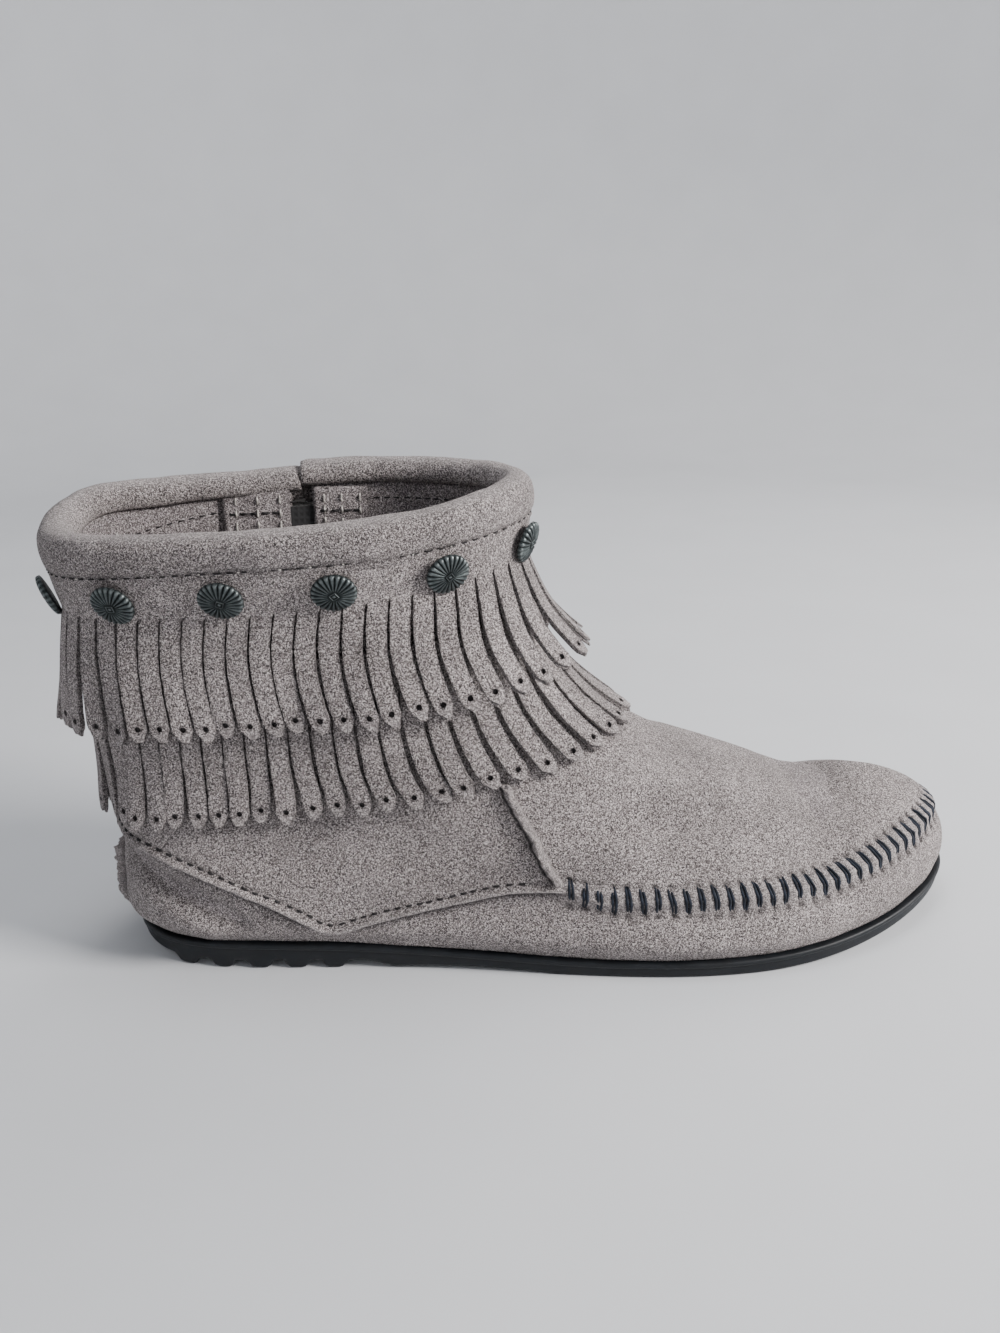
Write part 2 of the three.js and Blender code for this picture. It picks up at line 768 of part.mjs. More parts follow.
function outsoleGeometry() {
  const rings = [
    outlineRing(soleBottom, soleMargin - lipStep - bottomBevel),
    outlineRing((x) => soleBottom(x) + bottomBevel * 0.7, soleMargin - lipStep),
    outlineRing((x) => soleTop(x) - lipHeight - lipStep * 0.5, soleMargin - lipStep * 0.6),
    outlineRing((x) => soleTop(x) - lipHeight, soleMargin),
    outlineRing(soleTop, soleMargin),
  ];
  const inside = rings[1].map((point) => point.clone());
  const footprint = [-1, heelThickness].map((z) => {
    return inside.map((point) => new THREE.Vector3(point.x, point.y, z));
  });
  let ribs = null;
  for (let i = 0; i < ribCount; i += 1) {
    const section = new THREE.Shape([
      new THREE.Vector2(-ribFlat / 2, 0),
      new THREE.Vector2(ribFlat / 2, 0),
      new THREE.Vector2(ribWidth / 2, ribHeight * 0.6),
      new THREE.Vector2(ribWidth / 2, ribHeight + 1),
      new THREE.Vector2(-ribWidth / 2, ribHeight + 1),
      new THREE.Vector2(-ribWidth / 2, ribHeight * 0.6),
    ]);
    const bar = new THREE.ExtrudeGeometry(section, { depth: 2 * ballHalfWidth, bevelEnabled: false });
    bar.rotateX(Math.PI / 2).translate(heelSetback + (i - 1) * ribPitch, ballHalfWidth, 0);
    const solid = toSolid(bar);
    ribs = ribs ? ribs.add(solid) : solid;
  }
  const trimmed = ribs.intersect(toSolid(slabGeometry(footprint)));
  return toGeometry(toSolid(slabGeometry(rings)).add(trimmed));
}

function insoleGeometry() {
  const inset = -wall - clearance;
  return slabGeometry([
    outlineRing((x) => soleTop(x) + clearance, inset),
    outlineRing((x) => soleTop(x) + clearance + insoleThickness, inset),
  ]);
}

// The slider's own frame has its Y axis out from the wall. The arch over the pull's pin runs up and down.
const archHeight = 2 * pinRadius + 2 * clearance;
const archReach = 2 * pinRadius + archPlay;
const pinPlace = chainProud + clearance + sliderThickness + clearance + pinRadius;

function sliderGeometry() {
  const base = chainProud + clearance;
  const top = base + sliderThickness;
  const postLength = archThickness + 0.2;
  const postPlace = (archReach - postLength) / 2;
  let solid = toSolid(boxAt(sliderWidth, sliderThickness, sliderLength, 0, base + sliderThickness / 2, 0));
  for (const side of [-1, 1]) {
    const height = archHeight + 0.4;
    const post = boxAt(archWidth, height, postLength, 0, top - 0.2 + height / 2, side * postPlace);
    solid = solid.add(toSolid(post));
  }
  const bridge = boxAt(archWidth, archThickness, archReach, 0, top + archHeight + archThickness / 2, 0);
  return toGeometry(solid.add(toSolid(bridge)));
}

// The pull hangs from its pin, which lies along X through the frame's origin
function pullGeometry() {
  const armWidth = (pullWidth - archWidth) / 2 - 2 * clearance;
  const armPlace = (pullWidth - armWidth) / 2;
  const neck = archReach / 2 + archThickness + pinRadius;
  const pin = new THREE.CylinderGeometry(pinRadius, pinRadius, pullWidth, 8).rotateZ(Math.PI / 2);
  let solid = toSolid(pin);
  for (const side of [-1, 1]) {
    const arm = boxAt(armWidth, pullThickness, neck + 0.5, side * armPlace, 0, -(neck + 0.5) / 2);
    solid = solid.add(toSolid(arm));
  }
  const plate = boxAt(pullWidth, pullThickness, pullLength, 0, 0, -neck - pullLength / 2);
  const hole = new THREE.CylinderGeometry(pullHole / 2, pullHole / 2, 2 * pullThickness, 10);
  hole.translate(0, 0, -neck - pullLength + pullHole * 1.3);
  return toGeometry(solid.add(toSolid(plate)).subtract(toSolid(hole)));
}

const boot = new THREE.Group();
boot.position.set(-heelSetback, 0, 0);

boot.add(part('outsole', outsoleGeometry(), blackRubber));
boot.add(part('insole', insoleGeometry(), innerSole));
boot.add(part('upper', upperGeometry(), suede));
boot.add(part('collar_roll', rollGeometry(), suede));
for (const layer of named(fringeColumns, fringeTable)) {
  boot.add(part(layer.name, fringeGeometry(layer), suede));
}
boot.add(part('side_seam_outer', sideSeamGeometry(false), rawSuede));
boot.add(part('side_seam_inner', sideSeamGeometry(true), rawSuede));
boot.add(part('heel_tab', heelTabGeometry(), rawSuede));

discFrames().forEach(({ position, normal }, i) => {
  const disc = part(`concho_${String(i + 1).padStart(2, '0')}`, discGeometry(), agedMetal);
  disc.position.copy(position);
  disc.quaternion.setFromUnitVectors(new THREE.Vector3(0, 1, 0), normal);
  boot.add(disc);
});

const tapeTop = -wall - 1.5 * clearance;
const tapeRoom = zipRim - rollDrop - tapeDrop;
const tapeFoot = zipFoot - tapeTail;
const tape = zipStrip(tapeWidth, [-0.5, 0, 0.5], tapeRoom, tapeFoot, tapeTop - tapeThickness, tapeTop);
boot.add(part('zip_tape', tape, zipCloth));
const chainTop = zipRim - chainDrop;
const chain = zipStrip(chainWidth, [-0.5, 0.5], chainTop, zipFoot + 1, tapeTop + clearance, chainProud);
boot.add(part('zip_chain', chain, zipMetal));

const sliderHeight = zipRim - rollDrop - sliderLength / 2 - sliderDrop;
const sliderSpot = sideSpot(zipX, sliderHeight, true);
const sliderOut = wallNormal(sliderSpot.angle, sliderSpot.level);
const sliderTilt = Math.atan2(sliderOut.z, sliderOut.y);
const slider = new THREE.Group();
slider.position.copy(skinPoint(sliderSpot.angle, sliderSpot.level, 0));
slider.rotation.x = sliderTilt;
slider.add(part('zip_slider', sliderGeometry(), zipMetal));
boot.add(slider);

const pull = part('zip_pull', pullGeometry(), zipMetal);
pull.position.set(0, pinPlace, 0).applyAxisAngle(new THREE.Vector3(1, 0, 0), sliderTilt).add(slider.position);
boot.add(pull);

export default boot;
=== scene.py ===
"""Looks of a right ankle moccasin boot of grey taupe suede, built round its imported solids.

The boot's own sizes are millimetres, in the part's terms: X runs from the back of the heel to the toe, Y to
the inner side and Z up. Points go into Blender in metres, moved back by HEEL_SETBACK.
"""
import math

import bmesh
import bpy
import numpy as np
from mathutils import Matrix, Vector


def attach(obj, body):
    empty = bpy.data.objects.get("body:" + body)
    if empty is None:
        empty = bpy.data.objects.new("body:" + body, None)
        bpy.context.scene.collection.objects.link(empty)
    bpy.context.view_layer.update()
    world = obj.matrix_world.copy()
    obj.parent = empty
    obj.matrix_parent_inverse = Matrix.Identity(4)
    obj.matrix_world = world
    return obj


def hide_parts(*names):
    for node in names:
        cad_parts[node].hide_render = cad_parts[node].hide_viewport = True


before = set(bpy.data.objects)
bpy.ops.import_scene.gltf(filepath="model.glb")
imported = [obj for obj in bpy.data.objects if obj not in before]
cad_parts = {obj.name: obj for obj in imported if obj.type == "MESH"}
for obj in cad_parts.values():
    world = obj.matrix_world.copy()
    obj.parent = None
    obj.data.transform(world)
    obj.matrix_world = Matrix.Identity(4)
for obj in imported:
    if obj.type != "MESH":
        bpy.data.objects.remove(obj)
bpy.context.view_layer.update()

MM = 0.001
TURN = 2 * math.pi
rng = np.random.default_rng(11)

# Sizes of the last, the shaft and the sole, as in the part
SOLE_LENGTH = 258
BALL_HALF_WIDTH = 44.5
TOE_SWING = 7
WALL_HEIGHT = 117.4
INNER_RISE = 5
WALL = 1.8
CLEARANCE = 0.3
OVERLAP = 1.0
HEEL_THICKNESS = 8.6
FORE_THICKNESS = 5
TOE_SPRING = 6.9
HEEL_BEVEL = 3.4
ARCH_HOLLOW = 1.2
SOLE_MARGIN = 1.8
LIP_HEIGHT = 1.6
LIP_STEP = 0.7
RIB_PITCH = 11
RIB_HEIGHT = 2.4
RIB_WIDTH = 6.4
RIB_COUNT = 5
HEEL_SETBACK = 31
ROLL_DROP = 7
SLOT_WIDTH = 6.4
ZIP_FOOT = 36

# Sizes of the fringe
FRINGE_THICKNESS = 1.3
STRIP_PITCH = 6
SLIT_WIDTH = 0.6
TIP_LENGTH = 3
ZIP_GAP = 15
FRINGE_SWEEP = 2.1

# Places along the boot, as shares of its length
ZIP_PLACE = 0.497
SWING_START = 0.35
WAIST_PLACE = 0.5
WAIST_SPREAD = 0.22
WAIST_PULL = 0.2

# Places up the wall, as levels
WAIST_TOP = 6
INNER_RISE_START = 8
OVERLAP_FADE = 2

# One row for each level of the wall, from the sole's edge to the collar: ends along the foot as shares of
# SOLE_LENGTH, rises and the sag of the sides as shares of WALL_HEIGHT, then half widths at 30 to 150 degrees
# from heel to toe as shares of BALL_HALF_WIDTH
LEVELS = np.array([
    [0.0155, 0.996, 0, 0, 0, 0.5, 0.63, 0.833, 0.945, 0.551],
    [-0.003, 1.004, 0.055, 0.052, 0, 0.573, 0.685, 0.888, 0.998, 0.551],
    [0.001, 0.992, 0.14, 0.131, 0, 0.562, 0.67, 0.849, 0.921, 0.528],
    [0.002, 0.955, 0.225, 0.225, 0.006, 0.539, 0.652, 0.798, 0.8, 0.422],
    [0.003, 0.893, 0.302, 0.297, 0.017, 0.517, 0.629, 0.753, 0.73, 0.27],
    [0.002, 0.81, 0.37, 0.312, 0.017, 0.49, 0.611, 0.719, 0.708, 0.438],
    [0, 0.717, 0.446, 0.394, 0.017, 0.467, 0.607, 0.692, 0.681, 0.438],
    [-0.004, 0.632, 0.532, 0.468, 0.017, 0.456, 0.602, 0.67, 0.658, 0.416],
    [-0.01, 0.547, 0.642, 0.604, 0.012, 0.449, 0.607, 0.663, 0.647, 0.427],
    [-0.016, 0.494, 0.753, 0.763, 0.01, 0.449, 0.618, 0.674, 0.629, 0.416],
    [-0.018, 0.477, 0.864, 0.908, 0.017, 0.449, 0.64, 0.708, 0.652, 0.393],
    [-0.02, 0.469, 1, 1.116, 0.029, 0.449, 0.674, 0.764, 0.697, 0.404],
])
TOP = len(LEVELS) - 1

# The seam between the lower panel and the quarter or apron: share along the sole, share of the wall's height
SEAM = np.array([
    [0, 0.262], [0.05, 0.25], [0.107, 0.193], [0.186, 0.111], [0.247, 0.036], [0.3, 0.078], [0.391, 0.138],
    [0.45, 0.176], [0.509, 0.186], [0.548, 0.16], [0.66, 0.154], [0.8, 0.148], [0.877, 0.156], [0.94, 0.162],
    [1, 0.16],
])
SIDE_SEAM = [[0.5, 0.205], [0.484, 0.27], [0.467, 0.345], [0.452, 0.41], [0.443, 0.45]]

# The two rows of fringe, in the same shares, with gaps behind the leather in millimetres
FRINGES = [
    {"name": "fringe_upper", "top": None, "slit": (0.853, 0.934), "tip": (0.574, 0.644), "top_share": 1,
     "tip_share": 0.7, "gaps": (2.6, 0.6), "tip_gaps": (7.4, 4.8, 9), "drift": 0.14},
    {"name": "fringe_lower", "top": (0.742, 0.813), "slit": (0.64, 0.71), "tip": (0.324, 0.49),
     "top_share": 0.6, "tip_share": 0.3, "gaps": (0.5, 0.5), "tip_gaps": (1.8, 1.9, 1.2), "drift": 0.32},
]


def smooth(u):
    c = np.clip(u, 0, 1)
    return c * c * (3 - 2 * c)


def bell(u):
    return np.exp(-(u**2))


def lerp(a, b, u):
    return a + (b - a) * u


def size(v):
    return np.linalg.norm(v, axis=-1)


def unit(v):
    return v / size(v)[..., None]


def same_shape(*values):
    return np.broadcast_arrays(*(np.asarray(value, float) for value in values))


def spline(p, q, r, s, u):
    """A smooth curve from q to r, steered by p and s."""
    return q + 0.5 * ((r - p) * u + (2 * p - 5 * q + 4 * r - s) * u**2 + (3 * q - p - 3 * r + s) * u**3)


def lengths_along(points):
    """How far along a row of points each one is."""
    return np.concatenate([[0], np.cumsum(size(np.diff(points, axis=0)))])


def solve(high, too_low, shape):
    """Where values between 0 and high stop being too low, found by halving."""
    a = np.zeros(shape)
    b = np.full(shape, float(high))
    for _ in range(36):
        middle = (a + b) / 2
        under = too_low(middle)
        a = np.where(under, middle, a)
        b = np.where(under, b, middle)
    return (a + b) / 2


# The wall, as in the part
WIDTH_ANGLES = np.radians([30, 60, 90, 120, 150])
WAVES = np.arange(1, 6)
ROWS = np.hstack([LEVELS[:, :5], LEVELS[:, 5:] @ np.sin(np.outer(WIDTH_ANGLES, WAVES)) / 3])
PADDED = np.vstack([2 * ROWS[0] - ROWS[1], ROWS, 2 * ROWS[-1] - ROWS[-2]])


def level_at(level):
    base = np.clip(np.floor(level).astype(int), 0, TOP - 1)
    return spline(*(PADDED[base + i] for i in range(4)), (level - base)[..., None])


def sole_top(x):
    share = x / SOLE_LENGTH
    wedge = (HEEL_THICKNESS - FORE_THICKNESS) * smooth((0.58 - share) / 0.46)
    return FORE_THICKNESS + wedge + TOE_SPRING * np.clip((share - 0.68) / 0.32, 0, 1.1) ** 2


def sole_bottom(x):
    share = x / SOLE_LENGTH
    bevel = HEEL_BEVEL * np.clip((0.07 - share) / 0.07, 0, 1) ** 2
    ribbed = RIB_HEIGHT * smooth((0.33 - share) / 0.05)
    hollow = ARCH_HOLLOW * np.sin(math.pi * np.clip((share - 0.29) / 0.21, 0, 1))
    return np.maximum(ribbed + bevel, hollow) + TOE_SPRING * np.clip((share - 0.73) / 0.27, 0, 1) ** 1.8


def centre_line(x):
    share = np.maximum(x / SOLE_LENGTH - SWING_START, 0) / (1 - SWING_START)
    return TOE_SWING * share * share


def wall_point(angle, level):
    """Points on the wall's outer face. The angle starts at the heel and goes round the outer side."""
    angle, level = same_shape(angle, level)
    row = level_at(level)
    along = (1 - np.cos(angle)) / 2
    side = np.sin(angle)
    x = SOLE_LENGTH * lerp(row[..., 0], row[..., 1], along)
    half = sum(row[..., 4 + k] * np.sin(k * angle) for k in WAVES)
    inner = side < 0
    pull = inner * WAIST_PULL * bell((along - WAIST_PLACE) / WAIST_SPREAD)
    pull = pull * np.clip(1 - level / WAIST_TOP, 0, 1) ** 1.5
    risen = smooth((level - INNER_RISE_START) / (TOP - INNER_RISE_START))
    rise = lerp(row[..., 2], row[..., 3], along) - row[..., 4] * along * side**2
    y = centre_line(x) - BALL_HALF_WIDTH * half * (1 - pull)
    z = sole_top(x) + CLEARANCE + WALL_HEIGHT * rise + inner * INNER_RISE * side**2 * risen
    return np.stack([x, y, z], -1)


def around(angle, level, step=0.003):
    """The wall's direction round the boot."""
    return wall_point(angle + step, level) - wall_point(angle - step, level)


def upward(angle, level, step):
    """The wall's direction up."""
    return wall_point(angle, np.minimum(level + step, TOP)) - wall_point(angle, np.maximum(level - step, 0))


def wall_normal(angle, level):
    return unit(np.cross(around(angle, level), upward(angle, level, 0.02)))


def flat_normal(angle, level):
    x, y, z = np.moveaxis(around(angle, level), -1, 0)
    return unit(np.stack([y, -x, 0 * z], -1))


def seam_rise(share):
    taps = (-0.012, -0.006, 0, 0.006, 0.012)
    return sum(np.interp(share + tap, *SEAM.T) for tap in taps) / len(taps)


def below_seam(level):
    x, _, z = np.moveaxis(wall_point(SEAM_ANGLES, level), -1, 0)
    return z < sole_top(x) + CLEARANCE + WALL_HEIGHT * seam_rise(x / SOLE_LENGTH)


SEAM_ANGLES = np.linspace(0, TURN, 2881)
SEAM_LEVELS = solve(4.5, below_seam, SEAM_ANGLES.shape)
SEAM_POINTS = wall_point(SEAM_ANGLES, SEAM_LEVELS)
SEAM_LENGTHS = lengths_along(SEAM_POINTS)


def seam_slants():
    """How far the wall's own upward lines lean along the seam, as cosines, evened out over a short reach."""
    up = upward(SEAM_ANGLES, SEAM_LEVELS, 0.15)
    slant = (unit(up) * unit(np.gradient(SEAM_POINTS, axis=0))).sum(-1)
    reach = 30
    wrapped = np.concatenate([slant[-reach - 1:-1], slant, slant[1:reach + 1]])
    return np.convolve(wrapped, np.full(2 * reach + 1, 1 / (2 * reach + 1)), "valid")


SEAM_SLANTS = seam_slants()


def seam_level(angle):
    return np.interp(np.mod(angle, TURN), SEAM_ANGLES, SEAM_LEVELS)


def seam_length(angle):
    """Distance along the seam from the middle of the heel, round the outer side."""
    return np.interp(np.mod(angle, TURN), SEAM_ANGLES, SEAM_LENGTHS)


def skin_point(angle, level, offset):
    above = level - seam_level(angle)
    step = np.where(above > 0, OVERLAP * np.exp(-np.maximum(above, 0) / OVERLAP_FADE), 0)
    return wall_point(angle, level) + wall_normal(angle, level) * (offset + step)[..., None]


def level_at_height(angle, height):
    angle, height = same_shape(angle, height)
    return solve(TOP, lambda level: wall_point(angle, level)[..., 2] < height, angle.shape)


def side_angle(x, level, inner):
    row = level_at(np.asarray(level, float))
    along = np.clip((x / SOLE_LENGTH - row[..., 0]) / (row[..., 1] - row[..., 0]), 0, 1)
    angle = np.arccos(1 - 2 * along)
    return TURN - angle if inner else angle


def side_spot(x, z, inner):
    """Angle and level of the place on one side of the wall that is seen at x and z from that side."""
    x, z = same_shape(x, z)
    level = solve(TOP, lambda trial: wall_point(side_angle(x, trial, inner), trial)[..., 2] < z, x.shape)
    return side_angle(x, level, inner), level


def value_noise(points, cell, seed):
    """Smooth noise between -1 and 1 with lumps of the given size."""
    q = points / cell
    base = np.floor(q).astype(np.int64)
    f = smooth(q - base)
    total = 0
    for corner in range(8):
        bits = np.array([corner & 1, corner >> 1 & 1, corner >> 2 & 1])
        n = ((base + bits) * np.array([73856093, 19349663, 83492791])).sum(-1) + seed * 977
        n = (n ^ (n >> 13)) * 1274126177 & 0xFFFFFFFF
        n = (n ^ (n >> 16)) & 0xFFFF
        total = total + n / 0xFFFF * np.prod(np.where(bits, f, 1 - f), -1)
    return 2 * total - 1


# Seams, stitches and creases on the wall
ZIP_X = SOLE_LENGTH * lerp(*LEVELS[-1, :2], ZIP_PLACE)
ZIP_ANGLE = TURN - math.acos(1 - 2 * ZIP_PLACE)
ZIP_RIM = wall_point(ZIP_ANGLE, TOP)[2]
APRON_X = 0.503 * SOLE_LENGTH
APRON_LEVEL = 1.6
STITCH_PITCH = 4.15
STITCH_REACH = 4.1
STITCH_LEAN = 0.13
APRON_ANGLES = [side_angle(APRON_X, APRON_LEVEL, inner) for inner in (False, True)]
APRON_START, APRON_END = seam_length(APRON_ANGLES).tolist()
STITCH_COUNT = int(round((APRON_END - APRON_START) / STITCH_PITCH))
STITCH_STEP = (APRON_END - APRON_START) / STITCH_COUNT
QUARTER_ROW = 2.7

# Soft troughs and ridges: side, depth (a ridge is negative), half width, then places as x and z in
# millimetres, seen from that side
CREASES = [
    ("outer", 2.4, 3.4, [(3, 37), (15, 29.5), (26.5, 23.5), (37, 17)]),
    ("outer", -1.2, 4.5, [(5, 27), (16, 20), (28, 14)]),
    ("outer", 0.7, 5.0, [(38, 38), (58, 36), (80, 37)]),
    ("outer", -0.5, 6.0, [(44, 30), (66, 27), (88, 29)]),
    ("outer", 0.6, 7.0, [(96, 30), (112, 27), (122, 27)]),
    ("outer", 0.9, 8.0, [(150, 48), (168, 41), (184, 34)]),
    ("outer", 1.3, 5.0, [(162, 59), (172, 52)]),
    ("outer", 0.9, 6.0, [(214, 42), (226, 37)]),
    ("outer", -0.8, 8.0, [(168, 51), (190, 42), (212, 34)]),
    ("outer", 0.6, 6.0, [(196, 32), (214, 28)]),
    ("outer", 0.5, 6.0, [(90, 19), (120, 20), (150, 19)]),
    ("outer", 0.5, 7.0, [(160, 20), (190, 17), (215, 16)]),
    ("inner", 1.1, 5.0, [(0, 36), (14, 27), (30, 20)]),
    ("inner", 0.8, 7.0, [(100, 44), (118, 36), (134, 33)]),
    ("inner", 0.8, 9.0, [(150, 48), (170, 40), (188, 33)]),
    ("inner", -0.6, 8.0, [(170, 50), (192, 41), (212, 34)]),
    ("inner", 0.6, 6.0, [(60, 40), (84, 34), (100, 33)]),
]
SADDLE_X = 211
SADDLE_DEPTH = 2.7
SADDLE_REACH = 9


def path_distance(points, path):
    """Squared distance of each point from a path, seen from the side."""
    places = points[..., [0, 2]]
    nearest = np.inf
    for start, end in zip(np.array(path, float), np.array(path[1:], float)):
        way = end - start
        share = np.clip((places - start) @ way / (way @ way), 0, 1)
        nearest = np.minimum(nearest, ((places - start - share[..., None] * way) ** 2).sum(-1))
    return nearest


def crease_offset(points):
    x, y, z = np.moveaxis(points, -1, 0)
    y = y - centre_line(x)
    total = -SADDLE_DEPTH * bell((x - SADDLE_X) / SADDLE_REACH) * smooth((z - 24) / 8) * (x > 150)
    for side, depth, width, path in CREASES:
        facing = smooth((-y if side == "outer" else y) / 12)
        total = total - depth * np.exp(-path_distance(points, path) / width**2) * facing
    return total


def crease_shade(points):
    """Painted shade in the fold over the heel's outer side, which is the first crease."""
    return 0.34 * np.exp(-path_distance(points, CREASES[0][3]) / 12) * (points[..., 1] < 0)


def seam_places(angle, level):
    """Distance along the seam, signed distance above it, and how much of an apron seam is there."""
    foot = seam_level(angle)
    apart = size(wall_point(angle, level) - wall_point(angle, foot))
    apart = np.where(level > foot, apart, -apart)
    slant = np.interp(np.mod(angle, TURN), SEAM_ANGLES, SEAM_SLANTS)
    along = seam_length(angle) + np.clip(apart, -8, 8) * slant
    apron = smooth((along - APRON_START - 1.5) / 4) * smooth((APRON_END - 1.5 - along) / 4)
    return along, apart * np.sqrt(1 - slant**2), apron


def stitch_lean(along):
    """Whip stitches lean away from the toe's tip, more so further from it."""
    return STITCH_LEAN * np.clip(((APRON_START + APRON_END) / 2 - along) / 40, -1, 1)


def stitch_phase(along, above):
    """How far a place is from the nearest whip stitch along the seam, in millimetres."""
    turns = (along + stitch_lean(along) * above - APRON_START) / STITCH_STEP - 0.5
    return (turns - np.round(turns)) * STITCH_STEP


def outer_relief(angle, level):
    """How far the leather stands off the plain wall, and how much painted shade and how much lighter paint
    it has there.
    """
    points = wall_point(angle, level)
    along, above, apron = seam_places(angle, level)
    quarter = 1 - apron
    near = bell((above - 0.4) / 3.8) * apron
    groove = bell(stitch_phase(along, above) / 0.8)
    hole = bell((np.abs(above - 0.65) - STITCH_REACH - 0.2) / 0.9) * groove * apron
    sewn = bell((above - QUARTER_ROW) / 0.8) * quarter
    edge = lerp(1.3, 2.2, smooth(above / 0.5)) - 1.1 * smooth((above - 0.9) / 2.5) - 0.4 * sewn
    step = lerp(np.where(above >= 0, lerp(edge, 1, apron), 0), smooth((above + 1.2) / 2.4), apron)
    step = step * OVERLAP * np.exp(-np.maximum(level - seam_level(angle), 0) / OVERLAP_FADE)
    ridge = 0.75 * bell((above + 0.4) / 1.3) * apron
    pucker = near * (0.45 * (1 - groove) - 0.55 * groove)
    ragged = value_noise(points, 1.1, 3) * 0.42 * bell(above / 1.6)
    soft = value_noise(points, 16, 1) * 0.35 + value_noise(points, 6, 2) * 0.12
    offset = crease_offset(points) + step + ridge + pucker - 0.9 * hole + ragged + soft
    # Painted shadow under the overlapping quarter's edge, and painted shade in the whip stitches' holes, in
    # the grooves between puckers, along the quarter's stitch row and in the heel crease
    under = bell((above + 0.3) / 1.2) * (above < 0) * quarter
    dark = np.clip(hole + 0.45 * groove * near + 0.9 * under + 0.2 * sewn + crease_shade(points), 0, 1)
    # Painted highlight along the overlapping quarter's raw edge and on the puckers between whip stitches
    wear_and_highlight = 0.75 * bell((above - 0.5) / 0.8) * quarter + near * (1 - groove) * 0.6
    return offset, dark, np.clip(wear_and_highlight, 0, 1)


def outer_point(angle, level):
    return wall_point(angle, level) + wall_normal(angle, level) * outer_relief(angle, level)[0][..., None]


def seam_spot(along, above):
    """Angle and level of the place at a distance along the seam and a distance above it."""
    along, above = same_shape(along, above)
    slant = np.interp(along, SEAM_LENGTHS, SEAM_SLANTS)
    straight = np.sqrt(1 - slant**2)
    angle = np.interp(along - above * slant / straight, SEAM_LENGTHS, SEAM_ANGLES)
    level = seam_level(angle)
    rate = size(upward(angle, level, 0.15)) / 0.3
    return angle, np.clip(level + above / straight / rate, 0, TOP)


# Materials
class Nodes:
    """Short calls that add nodes to a new material."""

    def __init__(self, name):
        self.material = bpy.data.materials.new(name)
        self.material.use_nodes = True
        self.tree = self.material.node_tree
        self.tree.nodes.clear()
        self.place = self.add("ShaderNodeTexCoord").outputs["Object"]

    def add(self, kind, inputs=None, **settings):
        node = self.tree.nodes.new(kind)
        for key, value in settings.items():
            setattr(node, key, value)
        for key, value in (inputs or {}).items():
            if isinstance(value, bpy.types.NodeSocket):
                self.tree.links.new(value, node.inputs[key])
            else:
                node.inputs[key].default_value = value
        return node

    def noise(self, size_mm, detail=2.0, roughness=0.5, place=None, distortion=0.0):
        inputs = {"Vector": place or self.place, "Scale": 1 / (size_mm * MM), "Detail": detail,
                  "Roughness": roughness, "Distortion": distortion}
        return self.add("ShaderNodeTexNoise", inputs).outputs["Fac"]

    def wave(self, scale, direction, distortion=0.0):
        inputs = {"Vector": self.place, "Scale": scale, "Distortion": distortion}
        return self.add("ShaderNodeTexWave", inputs, bands_direction=direction).outputs["Fac"]

    def math(self, operation, *values, clamp=False):
        node = self.add("ShaderNodeMath", dict(enumerate(values)), operation=operation, use_clamp=clamp)
        return node.outputs[0]

    def weigh(self, a, b, share):
        return self.math("MULTIPLY_ADD", a, share, self.math("MULTIPLY", b, 1 - share))

    def span(self, value, low, high, to_low=0.0, to_high=1.0):
        inputs = {"Value": value, "From Min": low, "From Max": high, "To Min": to_low, "To Max": to_high}
        return self.add("ShaderNodeMapRange", inputs).outputs["Result"]

    def mix(self, factor, a, b, mode="MIX"):
        node = self.add("ShaderNodeMix", {0: factor, 6: a, 7: b}, data_type="RGBA", blend_type=mode)
        return node.outputs[2]

    def ramp(self, factor, *stops):
        node = self.add("ShaderNodeValToRGB", {"Fac": factor})
        elements = node.color_ramp.elements
        while len(elements) < len(stops):
            elements.new(0.5)
        for element, (place, colour) in zip(elements, stops):
            element.position = place
            element.color = (*colour, 1)
        return node.outputs["Color"]

    def painted(self, colour, attribute, strength, paint):
        """The colour with another over it where the mesh's attribute says so."""
        amount = self.add("ShaderNodeAttribute", attribute_name=attribute).outputs["Fac"]
        return self.mix(self.math("MULTIPLY", amount, strength), colour, paint)

    def bump(self, height, distance_mm, strength=1.0):
        inputs = {"Height": height, "Distance": distance_mm * MM, "Strength": strength}
        return self.add("ShaderNodeBump", inputs).outputs["Normal"]

    def surface(self, **inputs):
        names = {key.replace("_", " ").title().replace("Ior", "IOR"): value for key, value in inputs.items()}
        shader = self.add("ShaderNodeBsdfPrincipled", names)
        self.add("ShaderNodeOutputMaterial", {"Surface": shader.outputs[0]})
        return self.material


def dimmed(colour, share=0.45):
    return [share * c for c in colour]


